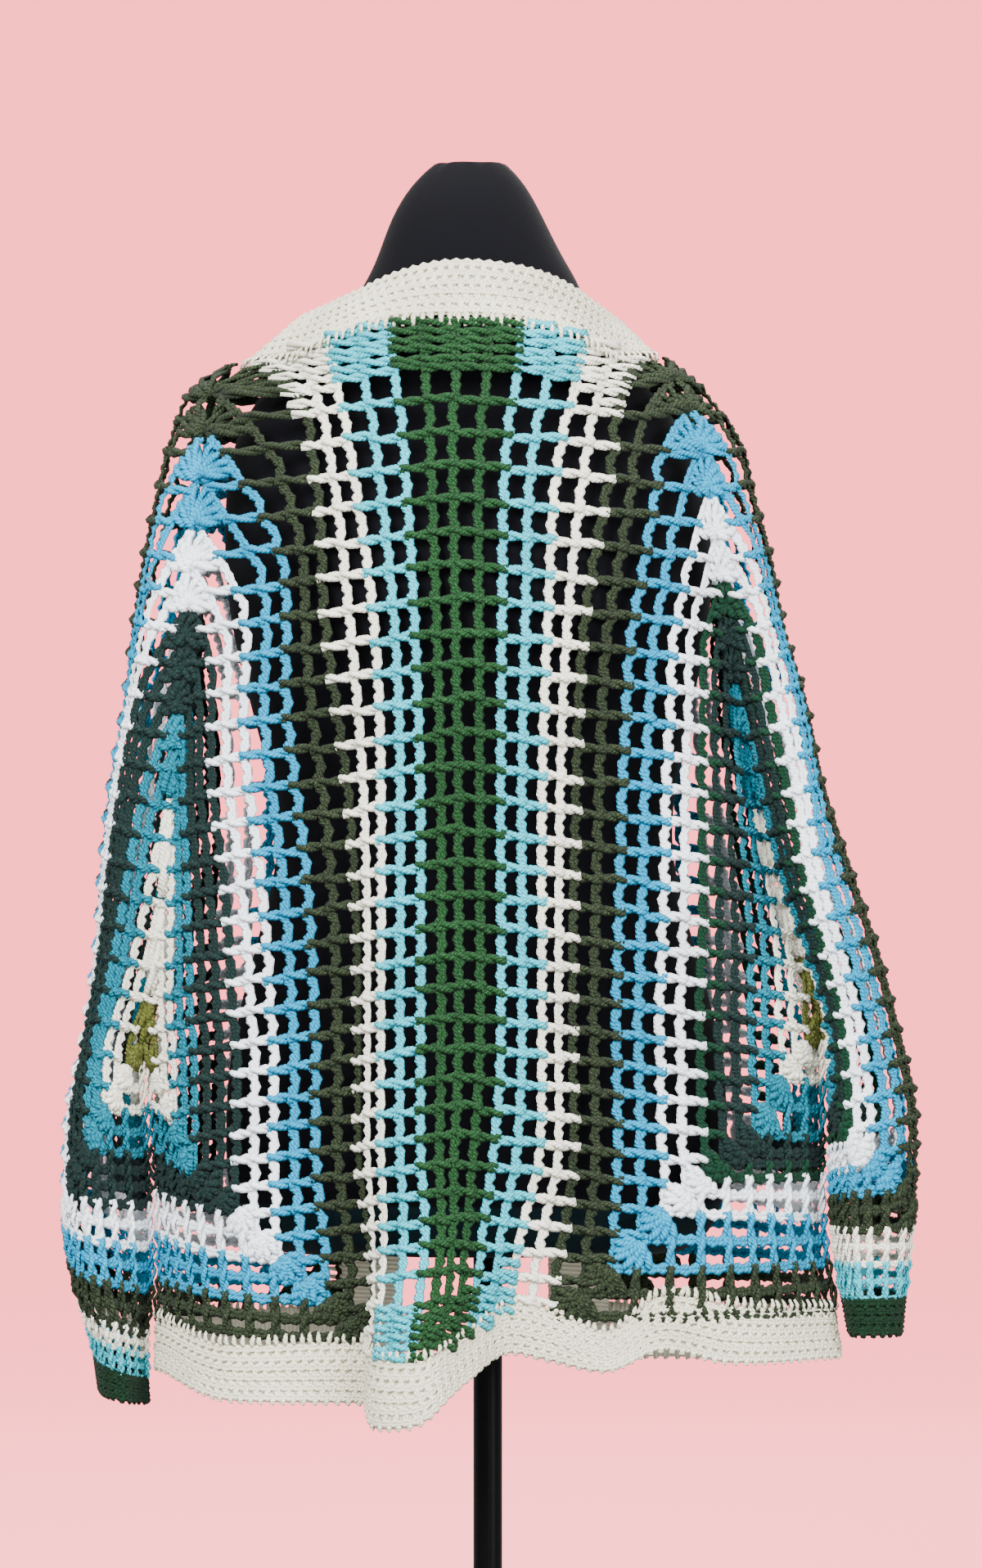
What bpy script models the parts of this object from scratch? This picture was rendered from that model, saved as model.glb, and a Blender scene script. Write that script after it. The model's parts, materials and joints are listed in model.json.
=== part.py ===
"""Crocheted mesh cardigan on a limbless dress form with a stand.

The cardigan is two crocheted hexagons, each folded into an L (half a body and one sleeve), joined by
rows at the centre back, with a collar band, a hem band, rows at the sleeve ends and cuffs.
Sizes in the tables are millimetres. x runs to the viewer's right as seen from behind the garment,
y runs from its back to its front, z is up and the floor is z = 0.
A place on the cloth is named by its round: `a` counts the rounds of crochet from the centre back
(0) past the edge of a hexagon (6) and its centre (20) to the front edge (34), negative on the left.
"""
import math

import bmesh
import bpy
import numpy as np
from mathutils import Vector

MM = 0.001
WALL = 3.0  # thickness of the crocheted cloth
SEAM = 0.3  # gap between two pieces at a seam

EXTRA = 6  # rounds of the rows between a hexagon and the centre back
ROUNDS = 14  # rounds of a hexagon
SIDE = EXTRA + ROUNDS  # where a hexagon's centre lies, at the underarm
FRONT = SIDE + ROUNDS  # the front edge

UNDERSIDE = 8.0  # room between the body's side fold and the fold under the sleeve
UNDERSIDE_DROP = 40.0  # how far below the underarm that room is reached
UNDERSIDE_RISE = 130.0  # and how far above it the rest of it is gone
INNER_CLEAR = -1.0  # how far the inner face of the sleeve bows away from the body
FINE = 561  # steps in which the rounds are looked up
MOST_ROOM = 5.0  # how far a wall is drawn back from a crease at most
MOST_SHARE = 0.2  # and the largest share of its section that this may take
NEAR = 0.04  # share of a section over which its direction is read
ROW_SEAM = 0.8  # gap between the rows at a sleeve's end, where the walls turn tightly
CLOTH_GAP = 0.8  # gap where the collar band meets an edge at an angle

# Columns of the cloth at the centre back, as seen from behind: x of the round boundaries -6 ... 6.
STRIP_ROUNDS = (-6, -4, -2, 2, 4, 6)
STRIP_X = {  # height z: x at each of STRIP_ROUNDS
    190: (-73, -67, -46, -12, 11, 39),
    252: (-71, -65, -43, -10, 14, 41),
    287: (-68, -63, -39, -5, 17, 44),
    322: (-72, -62, -37, 0, 24, 51),
    372: (-78, -64, -40, 7, 35, 56),
    432: (-78, -64, -40, 11, 36, 55),
    572: (-83, -64, -40, 11, 36, 57),
    695: (-100, -69, -44, 12, 40, 63),
    788: (-106, -82, -50, 14, 46, 80),
    845: (-124, -92, -55, 20, 57, 89),
    862: (-146, -95, -57, 22, 60, 104),
    890: (-146, -97, -58, 23, 62, 104),
}
STRIP_Y = {  # height z: y at each of STRIP_ROUNDS; the bulge above the hem is the deepest fold
    190: (-118, -146, -158, -138, -118, -113),
    252: (-116, -144, -157, -138, -118, -114),
    287: (-114, -138, -151, -135, -119, -115),
    322: (-112, -132, -144, -132, -121, -114),
    372: (-110, -127, -137, -130, -122, -110),
    432: (-108, -123, -131, -127, -120, -108),
    572: (-107, -117, -122, -121, -117, -107),
    695: (-104, -113, -118, -117, -113, -104),
    788: (-88, -97, -104, -104, -98, -90),
    845: (-54, -72, -86, -86, -74, -56),
    862: (-6, -63, -79, -78, -64, -8),
    890: (-6, -52, -68, -66, -52, -8),
}

# One side of the cardigan: a row for each level. `mid` is half way round the back, `crease` the
# diagonal of the hexagon (its side fold below the underarm), `rear` and `out` the back and the
# outer face of the sleeve, `seam` its top seam, `fore` its front, `crease_f` the front diagonal,
# `front` and `edge_f` the front of the body. Each is (x, y), outwards positive on both sides.
LEVEL_COLUMNS = ("mid", "crease", "rear", "out", "seam", "fore", "crease_f", "front", "edge_f")
LEFT = {
    190: ((156, -106), (203, -52), (221, -68), (232, -54), (234, -4), (220, 56),
          (199, -48), (164, 80), (88, 114)),
    252: ((156, -102), (204, -50), (226, -78), (240, -62), (243, 14), (226, 64),
          (202, -48), (165, 79), (90, 112)),
    287: ((158, -98), (200, -50), (233, -84), (250, -68), (252, 22), (232, 72),
          (199, -48), (166, 78), (92, 110)),
    332: ((162, -94), (201, -52), (238, -85), (256, -66), (257, 32), (236, 77),
          (200, -50), (168, 76), (92, 108)),
    382: ((163, -92), (204, -55), (240, -83), (256, -60), (256, 38), (236, 79),
          (203, -53), (168, 76), (92, 106)),
    433: ((163, -92), (208, -60), (237, -80), (248, -52), (243, 40), (230, 79),
          (208, -58), (166, 76), (92, 106)),
    487: ((160, -92), (202, -66), (228, -82), (239, -58), (238, 30), (226, 76),
          (198, -14), (164, 80), (92, 110)),
    542: ((161, -92), (196, -72), (222, -82), (234, -62), (236, 18), (220, 74),
          (192, 16), (160, 86), (92, 116)),
    592: ((163, -93), (192, -74), (217, -80), (228, -62), (231, 10), (214, 72),
          (188, 34), (156, 92), (92, 122)),
    647: ((153, -95), (187, -74), (211, -77), (220, -58), (221, 2), (208, 70),
          (184, 44), (150, 98), (94, 126)),
    692: ((138, -97), (183, -72), (205, -74), (214, -56), (217, -2), (202, 66),
          (180, 50), (146, 100), (98, 124)),
    732: ((132, -95), (180, -68), (200, -66), (208, -50), (211, -6), (197, 58),
          (178, 52), (142, 96), (104, 114)),
    772: ((138, -86), (176, -60), (194, -56), (201, -42), (203, -6), (192, 48),
          (174, 46), (146, 82), (112, 98)),
    807: ((141, -72), (173, -48), (186, -42), (193, -28), (195, -2), (186, 38),
          (172, 38), (148, 66), (122, 78)),
    845: ((146, -38), (163, -22), (169, -17), (173, -8), (174, 3), (168, 19),
          (163, 20), (150, 33), (136, 42)),
    858: ((147, -4), (149, -3), (150, -2), (151, -1), (151, 0), (150, 2),
          (149, 3), (147, 4), (146, 5)),
}
RIGHT = {
    190: ((150, -104), (220, -50), (226, -60), (232, -66), (252, -46), (240, 30),
          (218, -44), (170, 82), (78, 114)),
    252: ((150, -102), (220, -50), (227, -60), (234, -68), (257, -48), (243, 32),
          (218, -44), (170, 80), (80, 112)),
    287: ((149, -98), (213, -48), (221, -60), (230, -74), (260, -52), (246, 36),
          (211, -43), (170, 78), (80, 110)),
    332: ((147, -94), (208, -46), (217, -60), (228, -76), (264, -54), (248, 38),
          (207, -42), (168, 76), (80, 108)),
    382: ((146, -92), (208, -46), (216, -60), (226, -78), (266, -56), (250, 40),
          (207, -42), (168, 76), (78, 108)),
    452: ((144, -92), (206, -46), (211, -62), (219, -82), (252, -60), (238, 40),
          (206, -44), (164, 76), (76, 108)),
    487: ((140, -92), (197, -42), (201, -66), (212, -84), (243, -60), (230, 42),
          (193, -18), (158, 80), (76, 110)),
    542: ((134, -92), (180, -40), (184, -70), (200, -84), (225, -58), (212, 46),
          (176, 12), (150, 86), (74, 116)),
    592: ((128, -93), (168, -48), (176, -76), (195, -80), (209, -50), (196, 50),
          (165, 30), (142, 92), (74, 122)),
    647: ((123, -94), (156, -58), (170, -78), (188, -74), (197, -42), (180, 54),
          (153, 42), (132, 98), (74, 126)),
    692: ((116, -96), (150, -62), (169, -74), (179, -62), (184, -32), (168, 54),
          (148, 46), (124, 100), (76, 124)),
    732: ((111, -93), (145, -62), (164, -66), (172, -54), (177, -24), (160, 52),
          (143, 48), (118, 96), (80, 116)),
    772: ((107, -84), (139, -57), (152, -58), (161, -46), (167, -18), (151, 46),
          (138, 44), (118, 82), (84, 100)),
    807: ((101, -72), (133, -48), (146, -48), (152, -36), (158, -12), (144, 38),
          (132, 38), (114, 66), (90, 80)),
    845: ((104, -40), (117, -28), (122, -21), (127, -13), (129, 0), (120, 22),
          (117, 23), (110, 34), (98, 46)),
    862: ((105, -5), (107, -4), (108, -3), (109, -1), (109, 1), (108, 3),
          (107, 4), (105, 5), (104, 6)),
}

# The rounds: where each meets the diagonal under the shoulder (`top`), the one above the hem
# (`bottom`), and the side fold (`side`); the sleeve's rows meet its top seam (`cuff_out`) and its
# underside (`cuff_in`). Heights z.
ROUND_COLUMNS = ("top", "bottom", "side", "cuff_out", "cuff_in")
LEFT_ROUNDS = {
    0: (433, 433, 433, 433, 433),
    1: (462, 417, 421, 421, 419),
    3: (586, 385, 396, 398, 392),
    5: (640, 352, 370, 376, 366),
    8: (702, 331, 342, 346, 334),
    10: (752, 302, 316, 326, 308),
    12: (810, 277, 288, 304, 282),
    14: (858, 254, 265, 277, 255),
}
RIGHT_ROUNDS = {
    0: (452, 452, 452, 452, 452),
    1: (486, 432, 434, 436, 434),
    3: (578, 412, 410, 420, 410),
    5: (658, 378, 376, 402, 388),
    8: (720, 352, 352, 380, 366),
    10: (772, 332, 326, 364, 350),
    12: (825, 297, 298, 346, 336),
    14: (862, 268, 270, 320, 320),
}

# The hem band: height of its upper and lower edge round the body.
HEM_EDGES = {  # round a: (upper, lower)
    -34: (262, 228), -27: (258, 224), -20: (264, 232), -13: (250, 216), -6: (252, 215),
    -4: (245, 202), -2: (244, 203), 2: (262, 230), 4: (277, 246), 6: (271, 241), 8: (259, 235),
    10: (281, 247), 13: (274, 239), 20: (269, 239), 27: (262, 230), 34: (262, 228),
}
COLLAR_TOPS = {  # round a: height of the back's top edge, under the collar band
    -6: 858, -5: 860, -4: 869, -3: 876, -2: 880, 0: 882, 2: 880, 3: 876, 4: 870, 5: 861, 6: 862,
}
# The collar band's free edge. At the back by round a: (x, y, z).
COLLAR_BACK = {
    -6: (-113, 4, 886), -4: (-80, -32, 899), -2: (-50, -56, 911), 0: (-16, -64, 917),
    2: (24, -59, 913), 4: (53, -34, 903), 6: (84, 4, 882),
}
# At the front by the height of the edge it's worked on: (x, y, z), outwards positive.
COLLAR_LEFT = {
    858: (113, 4, 886), 845: (106, 38, 874), 825: (96, 68, 848), 800: (86, 92, 812),
    772: (75, 108, 776), 692: (61, 131, 692), 592: (55, 129, 592), 433: (55, 113, 433),
    190: (51, 121, 190),
}
COLLAR_RIGHT = {
    862: (84, 4, 882), 845: (74, 40, 866), 825: (64, 68, 842), 800: (56, 92, 808),
    772: (48, 108, 774), 692: (39, 131, 692), 592: (37, 129, 592), 433: (39, 114, 433),
    190: (41, 121, 190),
}
SLEEVE_ENDS = {  # side: height of the rows' and the cuff's lower edges at the seam and underside
    "left": {"rows": (245, 226), "cuff": (219, 211)},
    "right": {"rows": (277, 277), "cuff": (253, 253)},
}

FORM = {  # height z: (centre x, half width, depth behind, depth in front)
    302: (-3, 128, 84, 84),
    312: (-4, 146, 96, 92),
    360: (-5, 158, 101, 94),
    420: (-5, 156, 99, 92),
    500: (-6, 136, 90, 86),
    560: (-6, 123, 86, 84),
    630: (-8, 136, 98, 104),
    690: (-9, 150, 111.5, 114),
    740: (-10, 154, 109.5, 106),
    785: (-13, 150, 93, 86),
    815: (-15, 140, 77, 66),
    840: (-17, 122, 66, 50),
    860: (-17, 98, 60, 44),
    880: (-12, 79.5, 59, 45),
    905: (-7.5, 68, 57, 47),
    922: (-9, 58, 54, 46),
    947: (-11, 48, 47, 42),
    968: (-10, 36, 34, 33),
    981: (-9, 22, 20, 20),
}
FORM_SQUARE = 2.3  # 2 is an ellipse, more is squarer
POLE_X = 2.0
POLE_RADIUS = 9.0
BASE_RADIUS = 150.0
BASE_HEIGHT = 12.0
HUB_RADIUS = 22.0

BASE_TOP = BASE_HEIGHT + 18.0  # top of the hub on the base

COLLECTION = "mesh_cardigan_on_dress_form"
# The rounds from a hexagon's centre to its edge at which its columns of faces meet.
COLUMNS = (0, 0.5, 1, 1.6, 2.3, 3, 4, 5, 6.5, 8, 9.5, 11, 12.2, 13.2, 14)
BODY_ROWS, BODY_LEAN, SLEEVE_ROWS, SLEEVE_LEAN = 17, 1.35, 15, 1.35
HEM_ROWS, COLLAR_ROWS, FORM_COLUMNS = 2, 3, 24
SEAM_ROUNDS = 0.5 * SEAM / 13.5  # half a seam's gap, in rounds of crochet
TOP_READ = 858.0  # above this a seam's normal is read here, where the cloth still stands
FRONT_STATIONS = (229, 290, 350, 410, 470, 530, 590, 640, 690, 735, 775, 800, 820, 835, 848)
BACK_STATIONS = (-6, -5.4, -4.8, -4, -3, -2, -1, 0, 1, 2, 3, 4, 4.8, 5.4, 6)

MATERIALS = {  # name: (colour, roughness, metallic)
    "green_crochet": ((0.03, 0.13, 0.04), 0.9, 0.0),
    "teal_crochet": ((0.02, 0.28, 0.34), 0.9, 0.0),
    "cream_crochet": ((0.78, 0.72, 0.62), 0.9, 0.0),
    "dark_green_crochet": ((0.01, 0.05, 0.02), 0.9, 0.0),
    "black_knit": ((0.01, 0.01, 0.014), 0.85, 0.0),
    "black_metal": ((0.004, 0.004, 0.005), 0.35, 0.8),
}


def unit(v):
    return v / max(np.linalg.norm(v), 1e-9)


def smooth(table, t):
    """A smooth curve through the rows of a table, read at the places t."""
    knots = np.array(sorted(table), float)
    values = np.array([np.ravel(table[k]) for k in sorted(table)], float)
    return hermite(knots, values, np.asarray(t, float))


def hermite(knots, values, t):
    """Cubic through values at the knots, with slopes limited so that it doesn't overshoot."""
    steps = np.diff(knots)[:, None]
    slopes = np.diff(values, axis=0) / steps
    inner = (slopes[:-1] * steps[1:] + slopes[1:] * steps[:-1]) / (steps[1:] + steps[:-1])
    limit = 3 * np.minimum(abs(slopes[:-1]), abs(slopes[1:]))
    turning = slopes[:-1] * slopes[1:] <= 0
    inner = np.where(turning, inner * 0.35, np.clip(inner, -limit, limit))
    tangents = np.vstack([slopes[:1], inner, slopes[-1:]])
    t = np.clip(t, knots[0], knots[-1])
    i = np.clip(np.searchsorted(knots, t, side="right") - 1, 0, len(knots) - 2)
    h = (knots[i + 1] - knots[i])[..., None]
    f = (t - knots[i])[..., None] / h
    return (
        values[i] * (1 + 2 * f) * (1 - f) ** 2
        + values[i + 1] * f**2 * (3 - 2 * f)
        + tangents[i] * h * f * (1 - f) ** 2
        - tangents[i + 1] * h * f**2 * (1 - f)
    )


def through(knots, points, t):
    """The plain smooth curve through a section's points at the knots."""
    knots, points = np.array(knots, float), np.array(points, float)
    steps = np.diff(knots)[:, None]
    slopes = np.diff(points, axis=0) / steps
    inner = (slopes[:-1] * steps[1:] + slopes[1:] * steps[:-1]) / (steps[1:] + steps[:-1])
    first, last = 1.5 * slopes[0] - 0.5 * inner[0], 1.5 * slopes[-1] - 0.5 * inner[-1]
    tangents = np.vstack([first, inner, last])
    i = min(max(int(np.searchsorted(knots, t, side="right")) - 1, 0), len(knots) - 2)
    h = knots[i + 1] - knots[i]
    f = (t - knots[i]) / h
    return (
        points[i] * (1 + 2 * f) * (1 - f) ** 2
        + points[i + 1] * f**2 * (3 - 2 * f)
        + tangents[i] * h * f * (1 - f) ** 2
        - tangents[i + 1] * h * f**2 * (1 - f)
    )


class Side:
    """One hexagon: its sections and rounds, with x outwards positive."""

    def __init__(self, name, levels, rounds, collar):
        self.name = name
        self.sign = -1 if name == "left" else 1
        self.levels = levels
        self.rounds = rounds
        self.collar = collar
        self.arm = rounds[0][0]
        self.fine_rounds = np.linspace(0, ROUNDS, FINE)
        self.fine_tops = smooth(rounds, self.fine_rounds)[:, 0]

    def level(self, z):
        """The section's named points at a height."""
        return dict(zip(LEVEL_COLUMNS, smooth(self.levels, z).reshape(-1, 2)))

    def round_at_crease(self, z):
        """The round that meets the upper diagonal at a height, 0 below the underarm."""
        return float(np.interp(z, self.fine_tops, self.fine_rounds))

    def height(self, column, r):
        """Where round r meets one of the lines of ROUND_COLUMNS."""
        return float(smooth(self.rounds, r)[ROUND_COLUMNS.index(column)])

    def strip_edge(self, z):
        """The hexagon's edge at the centre back."""
        i = 0 if self.sign < 0 else -1
        return np.array([self.sign * smooth(STRIP_X, z)[i], smooth(STRIP_Y, z)[i]])

    def body_line(self, p, z, front, f):
        """The body's section from the crease (0) to the hexagon's edge (1)."""
        if front:
            return through((0, 0.6, 1), (p["crease_f"], p["front"], p["edge_f"]), f)
        return through((0, 0.5, 1), (p["crease"], p["mid"], self.strip_edge(z)), f)

    def sleeve_line(self, p, z, g):
        """The sleeve's section from the crease behind (0) over its seam (1) to the one ahead (2)."""
        below = (self.arm - z) / (UNDERSIDE_DROP if z < self.arm else UNDERSIDE_RISE)
        fold = UNDERSIDE * min(max(0.5 + 0.5 * below, 0), 1)
        behind, ahead = p["crease"] + (fold, 0), p["crease_f"] + (fold, 0)
        inner = 0.5 * (ahead + p["fore"]) + (INNER_CLEAR, 0)
        knots = (0, 0.3, 0.6, 1, 1.4, 1.7, 2)
        points = (behind, p["rear"], p["out"], p["seam"], p["fore"], inner, ahead)
        return through(knots, points, g)

    def openings(self, p, z, front):
        """How far along their sections the two walls stop short of a crease, so that they clear."""
        if z <= self.arm:
            return 0, 0
        start, step = (2, -NEAR) if front else (0, NEAR)
        ways = (
            self.body_line(p, z, front, NEAR) - self.body_line(p, z, front, 0),
            self.sleeve_line(p, z, start + step) - self.sleeve_line(p, z, start),
        )
        half = 0.5 * math.acos(min(max(float(np.dot(unit(ways[0]), unit(ways[1]))), -1), 1))
        room = min(0.5 * SEAM + 0.5 * WALL / max(math.tan(half), 0.01), MOST_ROOM)
        room *= min((z - self.arm) / UNDERSIDE_DROP, 1)
        return [min(room * NEAR / np.linalg.norm(way), MOST_SHARE) for way in ways]

    def share(self, u, z):
        """How far round u lies from the crease (0) to the edge or seam (1) at a height."""
        r = self.round_at_crease(z)
        return 1.0 if u >= ROUNDS else min(max((u - r) / max(ROUNDS - r, 0.05), 0), 1)

    def body(self, u, z, front):
        """A point of the body part, u rounds from the hexagon's centre."""
        p = self.level(z)
        gap = self.openings(p, z, front)[0]
        x, y = self.body_line(p, z, front, gap + (1 - gap) * self.share(u, z))
        return np.array([self.sign * x, y, z])

    def sleeve(self, v, z, front):
        """A point of the sleeve, v rounds from the hexagon's centre."""
        p = self.level(z)
        gap = self.openings(p, z, front)[1]
        f = gap + (1 - gap) * self.share(v, z)
        x, y = self.sleeve_line(p, z, 2 - f if front else f)
        return np.array([self.sign * x, y, z])


SIDES = (
    Side("left", LEFT, LEFT_ROUNDS, COLLAR_LEFT),
    Side("right", RIGHT, RIGHT_ROUNDS, COLLAR_RIGHT),
)


def cloth(a, z):
    """The body of the cardigan at round a and height z, all round from edge to edge."""
    if abs(a) <= EXTRA:
        points = np.column_stack([smooth(STRIP_X, z), smooth(STRIP_Y, z)])
        x, y = through(STRIP_ROUNDS, points, a)
        return np.array([x, y, z])
    side = SIDES[0] if a < 0 else SIDES[1]
    return side.body(abs(SIDE - abs(a)), z, abs(a) > SIDE)


def wrap(side):
    """The sleeve as one surface: s runs round it from the fold under it, 0 to 28."""

    def point(s, z):
        ahead = (s < ROUNDS) == (side.sign < 0)
        return side.sleeve(min(s, 2 * ROUNDS - s), z, ahead)

    return point


def faced(surface, s, z, reach=0.35, rise=2.5):
    """The outward normal of a surface, read a little to each side."""
    across = surface(s + reach, z) - surface(s - reach, z)
    along = surface(s, z + rise) - surface(s, z - rise)
    normal = np.cross(across, along)
    return normal / max(np.linalg.norm(normal), 1e-9)


def grid_normals(points, closed):
    """Outward normals of a grid of points, from the grid itself."""
    if closed:
        wide = np.concatenate([points[:, -2:-1], points, points[:, 1:2]], axis=1)
        across = wide[:, 2:] - wide[:, :-2]
    else:
        across = np.gradient(points, axis=1)
    normals = np.cross(across, np.gradient(points, axis=0))
    return normals / np.maximum(np.linalg.norm(normals, axis=2, keepdims=True), 1e-9)


def wall(name, points, normals, material, closed=False):
    """A piece of cloth: a grid of points given the thickness of the crochet."""
    if closed:
        points, normals = points[:, :-1], normals[:, :-1]
    rows, columns = points.shape[:2]
    half = 0.5 * WALL * MM
    sheets = [points * MM + normals * half, points * MM - normals * half]
    size = rows * columns
    vertices = [Vector(p) for sheet in sheets for p in sheet.reshape(-1, 3)]
    faces = []
    last = columns if closed else columns - 1

    def at(row, column, inner=0):
        return inner * size + row * columns + column % columns

    for j in range(rows - 1):
        for i in range(last):
            ring = [(j, i), (j, i + 1), (j + 1, i + 1), (j + 1, i)]
            faces.append([at(*p) for p in ring])
            faces.append([at(*p, 1) for p in reversed(ring)])
    # Both pieces at a seam split their rims along the same diagonals, so the gap stays even.
    for j, turned in ((0, False), (rows - 1, True)):
        for i in range(last):
            rim = [at(j, i), at(j, i, 1), at(j, i + 1, 1), at(j, i + 1)]
            faces.append([rim[0], rim[3], rim[2], rim[1]] if turned else rim)
    if not closed:
        for i, turned in ((0, True), (columns - 1, False)):
            for j in range(rows - 1):
                rim = [at(j, i), at(j, i, 1), at(j + 1, i, 1), at(j + 1, i)]
                faces.append([rim[0], rim[3], rim[2], rim[1]] if turned else rim)
    mesh = bpy.data.meshes.new(name)
    mesh.from_pydata(vertices, [], faces)
    return place(name, mesh, material)


def place(name, mesh, material):
    """Puts a mesh in the collection as a named object with its material."""
    mesh.materials.append(material_named(material))
    mesh.shade_smooth()
    mesh.set_sharp_from_angle(angle=math.radians(50))
    made = bpy.data.objects.new(name, mesh)
    bpy.data.collections[COLLECTION].objects.link(made)
    return made


def material_named(name):
    if name in bpy.data.materials:
        return bpy.data.materials[name]
    colour, roughness, metallic = MATERIALS[name]
    material = bpy.data.materials.new(name)
    material.use_nodes = True
    shader = material.node_tree.nodes["Principled BSDF"]
    shader.inputs["Base Color"].default_value = (*colour, 1)
    shader.inputs["Roughness"].default_value = roughness
    shader.inputs["Metallic"].default_value = metallic
    return material


def spread(low, high, steps, lean=1.0):
    """Heights from low to high, closer together near the top where lean is over 1."""
    t = np.linspace(0, 1, steps + 1)
    return low + (high - low) * (1 - (1 - t) ** lean)


def hem_edge(a, lower=False):
    return float(smooth(HEM_EDGES, a)[1 if lower else 0])


def hexagon_body(side):
    """Half of the back, the side and a front, under the diagonals of one hexagon."""
    columns = np.array(COLUMNS)
    rounds = side.sign * np.concatenate([SIDE + columns[::-1], SIDE - columns[1:]])
    if side.sign > 0:
        rounds = rounds[::-1]
    points = []
    for a in rounds:
        seam_a = a
        if abs(abs(a) - EXTRA) < 1e-6:
            seam_a = a + side.sign * SEAM_ROUNDS
        heights = panel_heights(a) if seam_a != a else spread(
            hem_edge(a) + 0.5 * SEAM, side.height("top", abs(SIDE - abs(a))), BODY_ROWS, BODY_LEAN
        )
        points.append([cloth(seam_a, z) for z in heights])
    points = np.swapaxes(np.array(points), 0, 1)
    normals = grid_normals(points, False)
    edge = -1 if side.sign < 0 else 0
    for j, z in enumerate(points[:, edge, 2]):
        normals[j, edge] = faced(cloth, side.sign * EXTRA, min(z, TOP_READ))
    for i, a in enumerate(rounds):
        normals[0, i] = faced(cloth, a, points[0, i, 2])
    for j, z in enumerate(points[:, -1 - edge, 2]):
        normals[j, -1 - edge] = collar_at_front(side, z)[2]
    wall(f"hexagon_{side.name}_body", points, normals, "teal_crochet")


def hexagon_sleeve(side):
    """The sleeve of one hexagon, a tube below the underarm and open to the body above it."""
    surface = wrap(side)
    columns = np.array(COLUMNS + tuple(2 * ROUNDS - u for u in COLUMNS[-2::-1]))
    points = []
    for s in columns:
        v = min(s, 2 * ROUNDS - s)
        low = sleeve_end(side, v, "hexagon") + 0.5 * ROW_SEAM
        heights = spread(low, side.height("top", v), SLEEVE_ROWS, SLEEVE_LEAN)
        points.append([surface(s, z) for z in heights])
    points = np.swapaxes(np.array(points), 0, 1)
    points[:, -1] = points[:, 0]
    normals = grid_normals(points, True)
    for i, s in enumerate(columns):
        normals[0, i] = sleeve_normal(surface, s, points[0, i, 2])
    wall(f"hexagon_{side.name}_sleeve", points, normals, "teal_crochet", closed=True)


def sleeve_normal(surface, s, z):
    """The level normal round the sleeve's end; on the fold under it, the middle of both sides."""
    if 0.5 < s < 2 * ROUNDS - 0.5:
        normal = faced(surface, s, z)
    else:
        normal = faced(surface, 0.5, z) + faced(surface, 2 * ROUNDS - 0.5, z)
    return unit(normal * (1, 1, 0))


def sleeve_end(side, v, line):
    """Height of a line round the sleeve's end, at v rounds from the fold under it."""
    if line == "hexagon":
        outer, inner = side.height("cuff_out", ROUNDS), side.height("cuff_in", ROUNDS)
    else:
        outer, inner = SLEEVE_ENDS[side.name][line]
    return inner + (outer - inner) * v / ROUNDS


def sleeve_ring(side, name, upper, lower, rows, material):
    """A stretch of the sleeve's end between two of its lines."""
    surface = wrap(side)
    columns = np.array(COLUMNS + tuple(2 * ROUNDS - u for u in COLUMNS[-2::-1]))
    points, normals = [], []
    for s in columns:
        v = min(s, 2 * ROUNDS - s)
        low = sleeve_end(side, v, lower) + 0.5 * ROW_SEAM
        high = sleeve_end(side, v, upper) - 0.5 * ROW_SEAM
        heights = spread(low, high, rows)
        points.append([surface(s, z) for z in heights])
        normals.append([sleeve_normal(surface, s, z) for z in heights])
    points = np.swapaxes(np.array(points), 0, 1)
    normals = np.swapaxes(np.array(normals), 0, 1)
    points[:, -1], normals[:, -1] = points[:, 0], normals[:, 0]
    wall(name, points, normals, material, closed=True)


def panel_heights(a):
    """Heights up the centre back at round a, the same on both sides of a hexagon's edge."""
    top = float(smooth({k: (v,) for k, v in COLLAR_TOPS.items()}, a)[0]) - 2 * CLOTH_GAP
    return spread(hem_edge(a) + 0.5 * SEAM, top, BODY_ROWS, BODY_LEAN)


def centre_back_panel():
    """The rows that join the hexagons' back edges."""
    rounds = np.array([-6, -5, -4, -3, -2, -1, 0, 1, 2, 3, 4, 5, 6], float)
    points = []
    for a in rounds:
        inside = a * (EXTRA - SEAM_ROUNDS) / EXTRA
        points.append([cloth(inside, z) for z in panel_heights(a)])
    points = np.swapaxes(np.array(points), 0, 1)
    normals = grid_normals(points, False)
    for i, a in ((0, -EXTRA), (-1, EXTRA)):
        for j, z in enumerate(points[:, i, 2]):
            normals[j, i] = faced(cloth, a, min(z, TOP_READ))
    for i, a in enumerate(rounds):
        normals[0, i] = faced(cloth, a, points[0, i, 2])
        normals[-1, i] = collar_at_back(a)[2]
    wall("centre_back_panel", points, normals, "green_crochet")


def hem_band():
    """The dense band round the bottom of the body, from one front edge to the other."""
    columns = np.array(COLUMNS)
    outer = np.concatenate([SIDE + columns[::-1], SIDE - columns[1:]])
    rounds = np.concatenate([-outer, np.arange(-5, 6), outer[::-1]])
    points, normals = [], []
    for a in rounds:
        heights = spread(hem_edge(a, lower=True), hem_edge(a) - 0.5 * SEAM, HEM_ROWS)
        points.append([cloth(a, z) for z in heights])
        inside = min(max(a, 0.4 - FRONT), FRONT - 0.4)
        normals.append([faced(cloth, inside, z) for z in heights])
    points = np.swapaxes(np.array(points), 0, 1)
    normals = np.swapaxes(np.array(normals), 0, 1)
    wall("hem_band", points, normals, "cream_crochet")


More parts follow.
